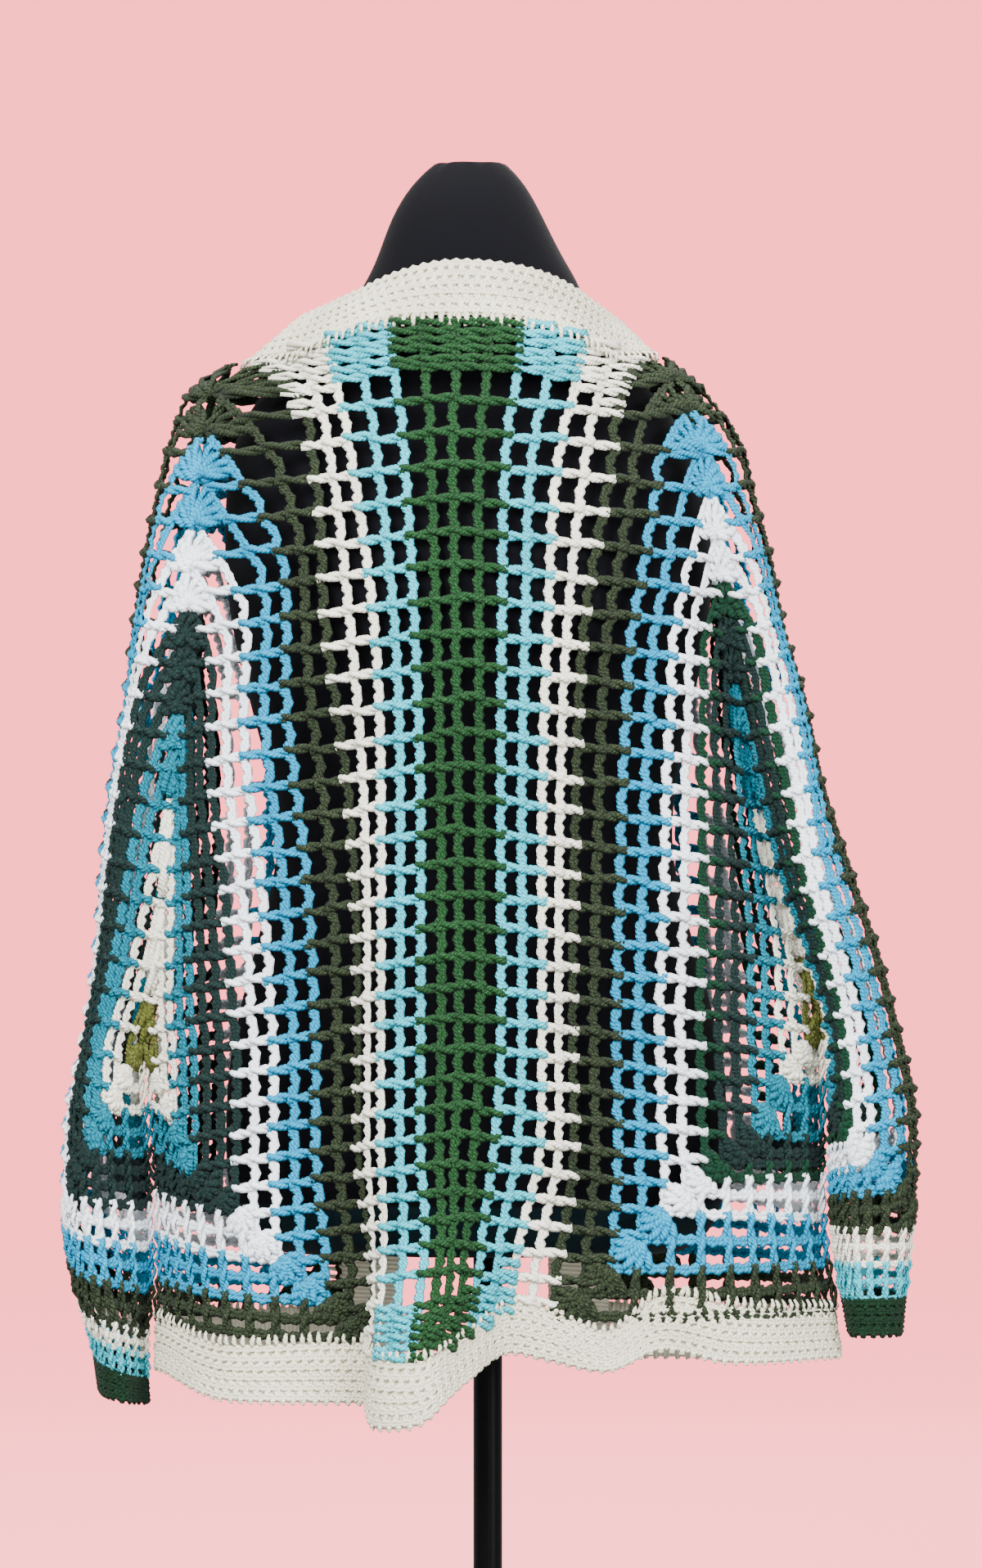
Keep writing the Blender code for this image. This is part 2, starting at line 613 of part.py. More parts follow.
def collar_at_front(side, z):
    """The collar band's two edges and their shared seam normal, at a height of a front edge."""
    joined = cloth(side.sign * FRONT, z)
    x, y, lift = smooth(side.collar, z)
    free = np.array([side.sign * x, y, lift])
    edge = cloth(side.sign * FRONT, z + 2) - cloth(side.sign * FRONT, z - 2)
    across = unit(joined - cloth(side.sign * (FRONT - 0.6), z)) + unit(free - joined)
    return joined, free, unit(np.cross(edge, across)) * -side.sign


def collar_at_back(a):
    """The same at round a of the centre back."""
    tops = {k: (v,) for k, v in COLLAR_TOPS.items()}
    z = float(smooth(tops, a)[0])
    joined, free = cloth(a, z), smooth(COLLAR_BACK, a)
    ends = [cloth(a + d, float(smooth(tops, a + d)[0])) for d in (-0.2, 0.2)]
    up = unit(joined - cloth(a, z - 6)) + unit(free - joined)
    return joined, free, unit(np.cross(ends[1] - ends[0], up))


def collar_band():
    """The dense band up one front, round the neck and down the other front."""
    runs = []
    for side in SIDES:
        heights = FRONT_STATIONS + (side.rounds[ROUNDS][0],)
        runs.append([collar_at_front(side, z) for z in heights])
    back = [collar_at_back(a) for a in BACK_STATIONS]
    points, edge_normals = [], []
    for joined, free, normal in runs[0] + back + runs[1][::-1]:
        start = joined + unit(free - joined) * CLOTH_GAP
        points.append([start + (free - start) * t for t in np.linspace(0, 1, COLLAR_ROWS + 1)])
        edge_normals.append(normal)
    points = np.swapaxes(np.array(points), 0, 1)
    normals = grid_normals(points, False)
    normals[0] = edge_normals
    wall("collar_band", points, normals, "cream_crochet")


def ring_of(z, count):
    """One ring of the dress form."""
    centre, width, behind, ahead = smooth(FORM, z)
    ring = []
    for k in range(count):
        turn = 2 * math.pi * k / count
        c, s = math.cos(turn), math.sin(turn)
        power = 2 / FORM_SQUARE
        x = centre + width * math.copysign(abs(c) ** power, c)
        y = (ahead if s > 0 else behind) * math.copysign(abs(s) ** power, s)
        ring.append((x, y, z))
    return ring


def dress_form():
    """The smooth limbless form, closed at the neck and underneath."""
    heights = sorted(set(FORM) | {336, 390, 460, 530, 595, 660, 715})
    shape = bmesh.new()
    rings = []
    for z in heights:
        rings.append([shape.verts.new(Vector(p) * MM) for p in ring_of(z, FORM_COLUMNS)])
    for low, high in zip(rings, rings[1:]):
        for k in range(FORM_COLUMNS):
            n = (k + 1) % FORM_COLUMNS
            shape.faces.new([low[k], low[n], high[n], high[k]])
    shape.faces.new(rings[0][::-1])
    shape.faces.new(rings[-1])
    mesh = bpy.data.meshes.new("dress_form")
    shape.to_mesh(mesh)
    shape.free()
    place("dress_form", mesh, "black_knit")


def stand_pole():
    """The pole from the base to the underside of the form."""
    low, high = BASE_TOP + SEAM, min(FORM) - SEAM
    bpy.ops.mesh.primitive_cylinder_add(
        vertices=24,
        radius=POLE_RADIUS * MM,
        depth=(high - low) * MM,
        location=(POLE_X * MM, 0, 0.5 * (low + high) * MM),
    )
    adopt(bpy.context.object, "stand_pole", "black_metal")


def stand_base():
    """The round foot, turned from its profile."""
    profile = [(0, BASE_TOP), (HUB_RADIUS - 2, BASE_TOP), (HUB_RADIUS, BASE_TOP - 2),
               (HUB_RADIUS, BASE_HEIGHT + 3), (HUB_RADIUS + 3, BASE_HEIGHT),
               (BASE_RADIUS - 4, BASE_HEIGHT - 2), (BASE_RADIUS, BASE_HEIGHT - 6),
               (BASE_RADIUS, 0), (0, 0)]
    mesh = bpy.data.meshes.new("stand_base")
    mesh.from_pydata([(x * MM, 0, z * MM) for x, z in profile],
                     [(k, k + 1) for k in range(len(profile) - 1)], [])
    base = place("stand_base", mesh, "black_metal")
    base.location.x = POLE_X * MM
    turn = base.modifiers.new("turn", "SCREW")
    turn.steps = turn.render_steps = 48
    turn.use_merge_vertices = True
    turn.merge_threshold = 0.00001
    turn.use_smooth_shade = False


def adopt(made, name, material):
    """Names an object made by an operator and moves it to the collection."""
    made.name = made.data.name = name
    made.data.materials.append(material_named(material))
    made.data.shade_smooth()
    made.data.set_sharp_from_angle(angle=math.radians(50))
    for owner in list(made.users_collection):
        owner.objects.unlink(made)
    bpy.data.collections[COLLECTION].objects.link(made)


def clear():
    for old in list(bpy.data.objects):
        bpy.data.objects.remove(old, do_unlink=True)


def main():
    clear()
    bpy.context.scene.collection.children.link(bpy.data.collections.new(COLLECTION))
    for side in SIDES:
        hexagon_body(side)
        hexagon_sleeve(side)
        sleeve_ring(side, f"sleeve_rows_{side.name}", "hexagon", "rows", 2, "cream_crochet")
        sleeve_ring(side, f"cuff_{side.name}", "rows", "cuff", 1, "dark_green_crochet")
    centre_back_panel()
    hem_band()
    collar_band()
    dress_form()
    stand_pole()
    stand_base()


main()
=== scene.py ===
import json
import math

import bpy
import numpy as np
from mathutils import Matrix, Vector

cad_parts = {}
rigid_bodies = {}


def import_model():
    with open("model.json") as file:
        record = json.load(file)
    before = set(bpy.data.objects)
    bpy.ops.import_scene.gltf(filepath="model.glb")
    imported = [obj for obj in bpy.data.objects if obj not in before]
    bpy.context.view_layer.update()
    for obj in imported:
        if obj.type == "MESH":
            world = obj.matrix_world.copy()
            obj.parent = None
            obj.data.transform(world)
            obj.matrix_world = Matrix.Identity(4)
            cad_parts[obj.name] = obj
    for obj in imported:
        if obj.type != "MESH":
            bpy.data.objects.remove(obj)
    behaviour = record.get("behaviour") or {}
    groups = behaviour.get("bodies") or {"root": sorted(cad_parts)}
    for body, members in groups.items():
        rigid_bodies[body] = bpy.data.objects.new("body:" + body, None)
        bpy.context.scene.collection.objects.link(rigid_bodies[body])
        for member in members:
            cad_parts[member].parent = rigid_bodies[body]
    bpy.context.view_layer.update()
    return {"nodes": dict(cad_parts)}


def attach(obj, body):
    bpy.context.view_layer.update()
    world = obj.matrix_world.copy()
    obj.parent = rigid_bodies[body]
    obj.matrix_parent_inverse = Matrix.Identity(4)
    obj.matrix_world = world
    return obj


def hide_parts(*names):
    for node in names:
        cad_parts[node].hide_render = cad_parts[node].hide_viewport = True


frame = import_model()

print("frame loaded")

# The cloth's own shape, in millimetres, the same as in the solids. A place on the body is named by
# its round a, from the left front edge (-34) round the back (0) to the right one (34), and height z.
cloth = {
    "yarnSeed": 11,
    "turnSlope": 0.35,  # how much of its slope a curve keeps where it turns back
    "leastRounds": 0.05,  # the narrowest section, in rounds
    # where a section's points stand from its crease (0) to its edge (1), or on round the sleeve (2)
    "backShares": (0, 0.5, 1), "frontShares": (0, 0.6, 1), "sleeveShares": (0, 0.3, 0.6, 1, 1.4, 1.7, 2),
    # how far a sleeve stands off the body: all of it this far below a hexagon's centre, none above
    "sleeveGap": 8, "gapBelow": 40, "gapAbove": 130,
    "foreSet": (-1, 0),  # the point between a sleeve's front and its front crease, off the straight
    "stripRounds": (-6, -4, -2, 2, 4, 6),
    "stripX": {190: (-73, -67, -46, -12, 11, 39), 252: (-71, -65, -43, -10, 14, 41),
               287: (-68, -63, -39, -5, 17, 44), 322: (-72, -62, -37, 0, 24, 51),
               372: (-78, -64, -40, 7, 35, 56), 432: (-78, -64, -40, 11, 36, 55),
               572: (-83, -64, -40, 11, 36, 57), 695: (-100, -69, -44, 12, 40, 63),
               788: (-106, -82, -50, 14, 46, 80), 845: (-124, -92, -55, 20, 57, 89),
               862: (-146, -95, -57, 22, 60, 104), 890: (-146, -97, -58, 23, 62, 104)},
    "stripY": {190: (-118, -146, -158, -138, -118, -113), 252: (-116, -144, -157, -138, -118, -114),
               287: (-114, -138, -151, -135, -119, -115), 322: (-112, -132, -144, -132, -121, -114),
               372: (-110, -127, -137, -130, -122, -110), 432: (-108, -123, -131, -127, -120, -108),
               572: (-107, -117, -122, -121, -117, -107), 695: (-104, -113, -118, -117, -113, -104),
               788: (-88, -97, -104, -104, -98, -90), 845: (-54, -72, -86, -86, -74, -56),
               862: (-6, -63, -79, -78, -64, -8), 890: (-6, -52, -68, -66, -52, -8)},
    # by height: mid back, crease, back of the sleeve, its outer face, seam, front, front crease,
    # front of the body, front edge: each x outwards and y
    "left": {
        190: (156, -106, 203, -52, 221, -68, 232, -54, 234, -4, 220, 56, 199, -48, 164, 80, 88, 114),
        252: (156, -102, 204, -50, 226, -78, 240, -62, 243, 14, 226, 64, 202, -48, 165, 79, 90, 112),
        287: (158, -98, 200, -50, 233, -84, 250, -68, 252, 22, 232, 72, 199, -48, 166, 78, 92, 110),
        332: (162, -94, 201, -52, 238, -85, 256, -66, 257, 32, 236, 77, 200, -50, 168, 76, 92, 108),
        382: (163, -92, 204, -55, 240, -83, 256, -60, 256, 38, 236, 79, 203, -53, 168, 76, 92, 106),
        433: (163, -92, 208, -60, 237, -80, 248, -52, 243, 40, 230, 79, 208, -58, 166, 76, 92, 106),
        487: (160, -92, 202, -66, 228, -82, 239, -58, 238, 30, 226, 76, 198, -14, 164, 80, 92, 110),
        542: (161, -92, 196, -72, 222, -82, 234, -62, 236, 18, 220, 74, 192, 16, 160, 86, 92, 116),
        592: (163, -93, 192, -74, 217, -80, 228, -62, 231, 10, 214, 72, 188, 34, 156, 92, 92, 122),
        647: (153, -95, 187, -74, 211, -77, 220, -58, 221, 2, 208, 70, 184, 44, 150, 98, 94, 126),
        692: (138, -97, 183, -72, 205, -74, 214, -56, 217, -2, 202, 66, 180, 50, 146, 100, 98, 124),
        732: (132, -95, 180, -68, 200, -66, 208, -50, 211, -6, 197, 58, 178, 52, 142, 96, 104, 114),
        772: (138, -86, 176, -60, 194, -56, 201, -42, 203, -6, 192, 48, 174, 46, 146, 82, 112, 98),
        807: (141, -72, 173, -48, 186, -42, 193, -28, 195, -2, 186, 38, 172, 38, 148, 66, 122, 78),
        845: (146, -38, 163, -22, 169, -17, 173, -8, 174, 3, 168, 19, 163, 20, 150, 33, 136, 42),
        858: (147, -4, 149, -3, 150, -2, 151, -1, 151, 0, 150, 2, 149, 3, 147, 4, 146, 5)},
    "right": {
        190: (150, -104, 220, -50, 226, -60, 232, -66, 252, -46, 240, 30, 218, -44, 170, 82, 78, 114),
        252: (150, -102, 220, -50, 227, -60, 234, -68, 257, -48, 243, 32, 218, -44, 170, 80, 80, 112),
        287: (149, -98, 213, -48, 221, -60, 230, -74, 260, -52, 246, 36, 211, -43, 170, 78, 80, 110),
        332: (147, -94, 208, -46, 217, -60, 228, -76, 264, -54, 248, 38, 207, -42, 168, 76, 80, 108),
        382: (146, -92, 208, -46, 216, -60, 226, -78, 266, -56, 250, 40, 207, -42, 168, 76, 78, 108),
        452: (144, -92, 206, -46, 211, -62, 219, -82, 252, -60, 238, 40, 206, -44, 164, 76, 76, 108),
        487: (140, -92, 197, -42, 201, -66, 212, -84, 243, -60, 230, 42, 193, -18, 158, 80, 76, 110),
        542: (134, -92, 180, -40, 184, -70, 200, -84, 225, -58, 212, 46, 176, 12, 150, 86, 74, 116),
        592: (128, -93, 168, -48, 176, -76, 195, -80, 209, -50, 196, 50, 165, 30, 142, 92, 74, 122),
        647: (123, -94, 156, -58, 170, -78, 188, -74, 197, -42, 180, 54, 153, 42, 132, 98, 74, 126),
        692: (116, -96, 150, -62, 169, -74, 179, -62, 184, -32, 168, 54, 148, 46, 124, 100, 76, 124),
        732: (111, -93, 145, -62, 164, -66, 172, -54, 177, -24, 160, 52, 143, 48, 118, 96, 80, 116),
        772: (107, -84, 139, -57, 152, -58, 161, -46, 167, -18, 151, 46, 138, 44, 118, 82, 84, 100),
        807: (101, -72, 133, -48, 146, -48, 152, -36, 158, -12, 144, 38, 132, 38, 114, 66, 90, 80),
        845: (104, -40, 117, -28, 122, -21, 127, -13, 129, 0, 120, 22, 117, 23, 110, 34, 98, 46),
        862: (105, -5, 107, -4, 108, -3, 109, -1, 109, 1, 108, 3, 107, 4, 105, 5, 104, 6)},
    # by round: its height at the corner under the shoulder, at the one above the hem, at the side
    # fold, at the sleeve's top seam and at its underside
    "leftRounds": {0: (433, 433, 433, 433, 433), 1: (462, 417, 421, 421, 419),
                   3: (586, 385, 396, 398, 392), 5: (640, 352, 370, 376, 366),
                   8: (702, 331, 342, 346, 334), 10: (752, 302, 316, 326, 308),
                   12: (810, 277, 288, 304, 282), 14: (858, 254, 265, 277, 255)},
    "rightRounds": {0: (452, 452, 452, 452, 452), 1: (486, 432, 434, 436, 434),
                    3: (578, 412, 410, 420, 410), 5: (658, 378, 376, 402, 388),
                    8: (720, 352, 352, 380, 366), 10: (772, 332, 326, 364, 350),
                    12: (825, 297, 298, 346, 336), 14: (862, 268, 270, 320, 320)},
    "hemEdges": {-34: (262, 228), -27: (258, 224), -20: (264, 232), -13: (250, 216), -6: (252, 215),
                 -4: (245, 202), -2: (244, 203), 2: (262, 230), 4: (277, 246), 6: (271, 241),
                 8: (259, 235), 10: (281, 247), 13: (274, 239), 20: (269, 239), 27: (262, 230),
                 34: (262, 228)},
    "collarTops": {-6: (858,), -5: (860,), -4: (869,), -3: (876,), -2: (880,), 0: (882,), 2: (880,),
                   3: (876,), 4: (870,), 5: (861,), 6: (862,)},
    "collarBack": {-6: (-113, 4, 886), -4: (-80, -32, 899), -2: (-50, -56, 911), 0: (-16, -64, 917),
                   2: (24, -59, 913), 4: (53, -34, 903), 6: (84, 4, 882)},
    "collarLeft": {858: (113, 4, 886), 845: (106, 38, 874), 825: (96, 68, 848), 800: (86, 92, 812),
                   772: (75, 108, 776), 692: (61, 131, 692), 592: (55, 129, 592), 433: (55, 113, 433),
                   190: (51, 121, 190)},
    "collarRight": {862: (84, 4, 882), 845: (74, 40, 866), 825: (64, 68, 842), 800: (56, 92, 808),
                    772: (48, 108, 774), 692: (39, 131, 692), 592: (37, 129, 592),
                    433: (39, 114, 433), 190: (41, 121, 190)},
    "sleeveEnds": {"left": ((245, 226), (219, 211)), "right": ((277, 277), (253, 253))},
}
roundCount, stripCount = 14, 6  # rounds of a hexagon, and rows from the middle of the back to its edge
sideRound = roundCount + stripCount  # the side, at a hexagon's centre
edgeRound = sideRound + roundCount  # the front edge
aroundSleeve = 2 * roundCount
sideSign = {"left": -1, "right": 1}
levelColumns = ("mid", "crease", "rear", "out", "seam", "fore", "frontCrease", "front", "frontEdge")
roundColumns = ("top", "bottom", "fold", "seam", "under")
random = np.random.default_rng(cloth["yarnSeed"])


def readCurve(table, t):  # smooth curve through a table's rows, without overshoot
    knots = np.array(sorted(table), float)
    values = np.array([np.ravel(table[k]) for k in sorted(table)], float)
    steps = np.diff(knots)[:, None]
    slopes = np.diff(values, axis=0) / steps
    inner = (slopes[:-1] * steps[1:] + slopes[1:] * steps[:-1]) / (steps[1:] + steps[:-1])
    limit = 3 * np.minimum(abs(slopes[:-1]), abs(slopes[1:]))
    turning = slopes[:-1] * slopes[1:] <= 0
    inner = np.where(turning, inner * cloth["turnSlope"], np.clip(inner, -limit, limit))
    tangents = np.vstack([slopes[:1], inner, slopes[-1:]])
    t = np.clip(np.asarray(t, float), knots[0], knots[-1])
    i = np.clip(np.searchsorted(knots, t, side="right") - 1, 0, len(knots) - 2)
    h = (knots[i + 1] - knots[i])[..., None]
    f = (t - knots[i])[..., None] / h
    return (values[i] * (1 + 2 * f) * (1 - f) ** 2 + values[i + 1] * f**2 * (3 - 2 * f)
            + tangents[i] * h * f * (1 - f) ** 2 - tangents[i + 1] * h * f**2 * (1 - f))


def readSection(knots, points, t):  # smooth line through each section's own points
    knots = np.array(knots, float)
    steps = np.diff(knots)[:, None]
    slopes = np.diff(points, axis=1) / steps
    inner = (slopes[:, :-1] * steps[1:] + slopes[:, 1:] * steps[:-1]) / (steps[1:] + steps[:-1])
    first = 1.5 * slopes[:, :1] - 0.5 * inner[:, :1]
    last = 1.5 * slopes[:, -1:] - 0.5 * inner[:, -1:]
    tangents = np.concatenate([first, inner, last], axis=1)
    i = np.clip(np.searchsorted(knots, t, side="right") - 1, 0, len(knots) - 2)
    n = np.arange(len(t))
    h = (knots[i + 1] - knots[i])[:, None]
    f = (t - knots[i])[:, None] / h
    return (points[n, i] * (1 + 2 * f) * (1 - f) ** 2 + points[n, i + 1] * f**2 * (3 - 2 * f)
            + tangents[n, i] * h * f * (1 - f) ** 2 - tangents[n, i + 1] * h * f**2 * (1 - f))


def roundHeight(side, column, r):
    return readCurve(cloth[side + "Rounds"], r)[..., roundColumns.index(column)]


fineRounds = np.linspace(0, roundCount, 561)
fineTops = {side: roundHeight(side, "top", fineRounds) for side in sideSign}


def shareOfSection(side, u, z):  # 0 at the crease, 1 at the edge or the seam
    crease = np.interp(z, fineTops[side], fineRounds)
    share = np.clip((u - crease) / np.maximum(roundCount - crease, cloth["leastRounds"]), 0, 1)
    return np.where(u >= roundCount, 1, share)


def levelPoints(side, z):  # the named points of a half's section at each height
    rows = readCurve(cloth[side], z).reshape(len(z), len(levelColumns), 2)
    return {name: rows[:, i] for i, name in enumerate(levelColumns)}


def halfBody(side, u, z, front):  # the body part of a hexagon, u rounds from its centre
    p = levelPoints(side, z)
    edge = 0 if side == "left" else -1
    strip = np.stack([sideSign[side] * readCurve(cloth["stripX"], z)[:, edge],
                      readCurve(cloth["stripY"], z)[:, edge]], axis=1)
    share = shareOfSection(side, u, z)
    behind = readSection(cloth["backShares"], np.stack([p["crease"], p["mid"], strip], axis=1), share)
    ahead = readSection(cloth["frontShares"],
                        np.stack([p["frontCrease"], p["front"], p["frontEdge"]], axis=1), share)
    flat = np.where(front[:, None], ahead, behind)
    return np.column_stack([sideSign[side] * flat[:, 0], flat[:, 1], z])


def placeBody(a, z):  # the body of the cardigan, all round
    a, z = np.ravel(a).astype(float), np.ravel(z).astype(float)
    out = np.zeros((len(a), 3))
    mid = abs(a) <= stripCount
    if mid.any():
        rows = np.stack([readCurve(cloth["stripX"], z[mid]), readCurve(cloth["stripY"], z[mid])], axis=2)
        out[mid, :2] = readSection(cloth["stripRounds"], rows, a[mid])
        out[mid, 2] = z[mid]
    for side, sign in sideSign.items():
        part = ~mid & (a * sign > 0)
        if part.any():
            away = abs(a[part])
            out[part] = halfBody(side, abs(sideRound - away), z[part], away > sideRound)
    return out


def placeSleeve(side):  # s runs round the sleeve from the fold under it

    def place(s, z):
        s, z = np.ravel(s).astype(float) % aroundSleeve, np.ravel(z).astype(float)
        p = levelPoints(side, z)
        arm = cloth[side + "Rounds"][0][0]
        below = (arm - z) / np.where(z < arm, cloth["gapBelow"], cloth["gapAbove"])
        gap = cloth["sleeveGap"] * np.clip(0.5 + 0.5 * below, 0, 1)
        shift = np.stack([gap, 0 * gap], axis=1)
        behind, ahead = p["crease"] + shift, p["frontCrease"] + shift
        between = 0.5 * (ahead + p["fore"]) + cloth["foreSet"]
        line = np.stack([behind, p["rear"], p["out"], p["seam"], p["fore"], between, ahead], axis=1)
        share = shareOfSection(side, np.minimum(s, aroundSleeve - s), z)
        front = (s < roundCount) == (side == "left")
        flat = readSection(cloth["sleeveShares"], line, np.where(front, 2 - share, share))
        return np.column_stack([sideSign[side] * flat[:, 0], flat[:, 1], z])

    return place


def bandOf(lower, upper, turns):  # a band between two lines, t from 0 at the lower to 1 at the upper
    steps = np.linalg.norm(np.diff(0.5 * (lower + upper), axis=0), axis=1)
    along = np.concatenate([[0], np.cumsum(steps)])

    def place(s, t):
        s, t = np.ravel(s).astype(float), np.ravel(t).astype(float)[:, None]
        if turns:
            s = s % along[-1]
        low = np.stack([np.interp(s, along, lower[:, k]) for k in range(3)], axis=1)
        high = np.stack([np.interp(s, along, upper[:, k]) for k in range(3)], axis=1)
        return low + (high - low) * t

    return place, along[-1]


def onCloth(place, a, b, reach=(0.3, 3.0)):  # points and outward normals at rows of places
    shape = a.shape
    p = place(a, b)
    across = place(a + reach[0], b) - place(a - reach[0], b)
    along = place(a, b + reach[1]) - place(a, b - reach[1])
    n = np.cross(across, along)
    n /= np.maximum(np.linalg.norm(n, axis=1, keepdims=True), 1e-6)
    return p.reshape(*shape, 3), n.reshape(*shape, 3)


def unit(v):
    return v / np.maximum(np.linalg.norm(v, axis=-1, keepdims=True), 1e-9)


# Yarn flattens a little on the cloth: how wide and thick it is for its radius, and a strand's sides.
strand = {"wide": 1.2, "thick": 0.74, "sides": 4, "legSides": 6}
metres = 0.001  # in a millimetre
spun = {}  # "piece:yarn": the strands spun of that yarn for the piece
laid = {}  # piece: the flat area of cloth worked in it, in square millimetres


def spin(piece, p, n, offsets, lifts, radii, sides=strand["sides"]):
    # strands along rows of points, moved across and off the cloth, with their radii
    tangent = unit(np.gradient(p, axis=1))
    across = unit(np.cross(n, tangent))
    up = np.cross(tangent, across)
    line = p + across * offsets[..., None] + up * lifts[..., None]
    tangent = unit(np.gradient(line, axis=1))
    across = unit(np.cross(up, tangent))
    up = np.cross(tangent, across)
    turn = 2 * np.pi * np.arange(sides) / sides
    ring = (strand["wide"] * across[:, :, None] * np.cos(turn)[None, None, :, None]
            + strand["thick"] * up[:, :, None] * np.sin(turn)[None, None, :, None])
    points = line[:, :, None] + ring * np.broadcast_to(radii, line.shape[:2])[..., None, None]
    steps = np.linalg.norm(np.diff(line, axis=1), axis=2)
    length = np.concatenate([np.zeros((len(p), 1)), np.cumsum(steps, axis=1)], axis=1)
    spun.setdefault(piece, []).append((points, length))


def build(piece, kinds):  # joins a piece's strands into one mesh, with its yarn's own UV map
    points, faces, uvs, slots, start = [], [], [], [], 0
    for slot, kind in enumerate(kinds):
        for grid, length in spun[piece + ":" + kind]:
            count, rings, sides = grid.shape[:3]
            points.append(grid.reshape(-1, 3))
            n, m, k = np.meshgrid(np.arange(count), np.arange(rings - 1), np.arange(sides), indexing="ij")
            at = lambda dm, dk: start + (n * rings + m + dm) * sides + (k + dk) % sides
            faces += np.stack([at(0, 0), at(0, 1), at(1, 1), at(1, 0)], axis=-1).reshape(-1, 4).tolist()
            u = np.stack([length[n, m], length[n, m], length[n, m + 1], length[n, m + 1]], axis=-1)
            v = np.stack([k, k + 1, k + 1, k], axis=-1) / sides
            uvs.append(np.stack([u, v], axis=-1).reshape(-1, 2))
            first = start + (np.arange(count) * rings)[:, None] * sides
            last = first + (rings - 1) * sides
            if sides <= strand["legSides"]:  # a strand's end is one face, a band's core ends in a row
                ends = [np.arange(sides)]
            else:
                ends = [np.array((i, i + 1, sides - 2 - i, sides - 1 - i)) for i in range(sides // 2 - 1)]
            for end in ends:
                faces += (first + end[::-1]).tolist() + (last + end).tolist()
                uvs.append(np.zeros((2 * count * len(end), 2)))
            start += count * rings * sides
            slots += [slot] * (len(faces) - len(slots))
    mesh = bpy.data.meshes.new(piece)
    mesh.from_pydata(np.concatenate(points) * metres, [], faces)
    layer = mesh.uv_layers.new(name="yarn")
    layer.data.foreach_set("uv", np.concatenate(uvs).astype(np.float32).ravel())
    mesh.polygons.foreach_set("use_smooth", np.ones(len(faces), bool))
    for kind in kinds:
        mesh.materials.append(materials[kind])
    mesh.polygons.foreach_set("material_index", slots)
    made = bpy.data.objects.new(piece, mesh)
    bpy.context.scene.collection.objects.link(made)
    print(piece, "joined,", sum(len(face) - 2 for face in faces), "triangles")
    return made


def countArea(piece, length, depth):
    name = piece.split(":")[0]
    laid[name] = laid.get(name, 0) + float(length) * float(depth)


# The stitches of the net, in millimetres.
stitch = {
    "link": 7.0, "widest": 0.55,  # one chain stitch, and how far along it is widest
    "chainWide": 1.55, "chainNarrow": 0.65, "chainYarn": (1.42, 1.68), "chainLift": (-0.5, 0.8),
    "chainStep": 3.0,  # from point to point of a chain's own line
    "postYarn": 1.6, "tip": 1.9, "rowTip": 1.4, "postEnd": 1.03, "leastPost": 4.0, "postLift": 0.5,
    "postTwist": 1.4, "twistYarn": 1.5, "postTurns": 0.75, "phaseSpread": 0.35,
    # along a post, from its foot to its top
    "postShape": (0.88, 1.08, 1, 1, 0.9), "twistShape": (0.9, 1.1, 1, 1, 0.8),
    "postDips": (1.0, 1.1, 0.4, 0.2, -0.2), "fanDips": (-0.3, 0.1, 0.2, 0.1, -0.2),
    # from post to post along a column, by height, where the net hangs looser or closer
    "mesh": {250: 15.0, 330: 15.8, 400: 17.4, 480: 18.7, 560: 19.3, 640: 20.3, 880: 20.6},
    "firstPost": 871.5, "lastPost": 170.0, "uneven": 0.7,
    "clearTop": 26, "clearBottom": 20,  # a column's posts stop short of its corners
    "meshRounds": 1.38,  # and along a row of the hem or the sleeve's end, in rounds
    "clearRow": 1.7,  # a row's posts stop short of its corners, in rounds
    "fall": 1.5,  # how far a post slopes down, away from the centre back
    "rowChain": 1.12,  # a row's chain against a column's
    "rowSag": 1.3,  # how far a row's chain hangs between its posts
    "bow": 0.22,  # how far a column's chain bows out between posts, in rounds
    "leastDepth": 11,  # of a round, where its posts are crowded
    "fanSteps": (5.0, 10.6, 16.2),  # tops of a corner's three posts, from the corner
    "topSteps": (5.5, 11.5, 17.5, 23.5),  # and under the shoulder, where the net is drawn out
    "fanStart": 0.25, "fanGrowth": 0.2,  # the inner rounds' fans are smaller
    "fanYarn": 1.95, "fanTip": 1.0, "fanTurns": 0.9, "fanLift": 0.7, "fanLean": (0.06, 0.22), "fanSplay": 0.6,
    "roundWidth": 10.7, "leastRound": 0.05,  # along the hem and the sleeve's end
}


def layChain(piece, place, a, b, size=1.0, lift=0.0, link=stitch["link"]):
    p = place(a, b)
    along = np.concatenate([[0], np.cumsum(np.linalg.norm(np.diff(p, axis=0), axis=1))])
    links = max(1, round(along[-1] / link))
    t = np.concatenate([(np.arange(links)[:, None] + (0, stitch["widest"])).ravel(), [links]])
    t = t / links * along[-1]
    p, n = onCloth(place, np.interp(t, along, a)[None], np.interp(t, along, b)[None])
    wide = np.arange(len(t)) % 2 == 1
    offset = size * np.where(wide, stitch["chainWide"], stitch["chainNarrow"])
    lifts = lift + size * np.where(wide, stitch["chainLift"][1], stitch["chainLift"][0])
    radii = size * np.where(wide, stitch["chainYarn"][1], stitch["chainYarn"][0])
    for way in (-1, 1):
        spin(piece, p, n, way * offset[None], lifts[None], radii[None])
    return along[-1]


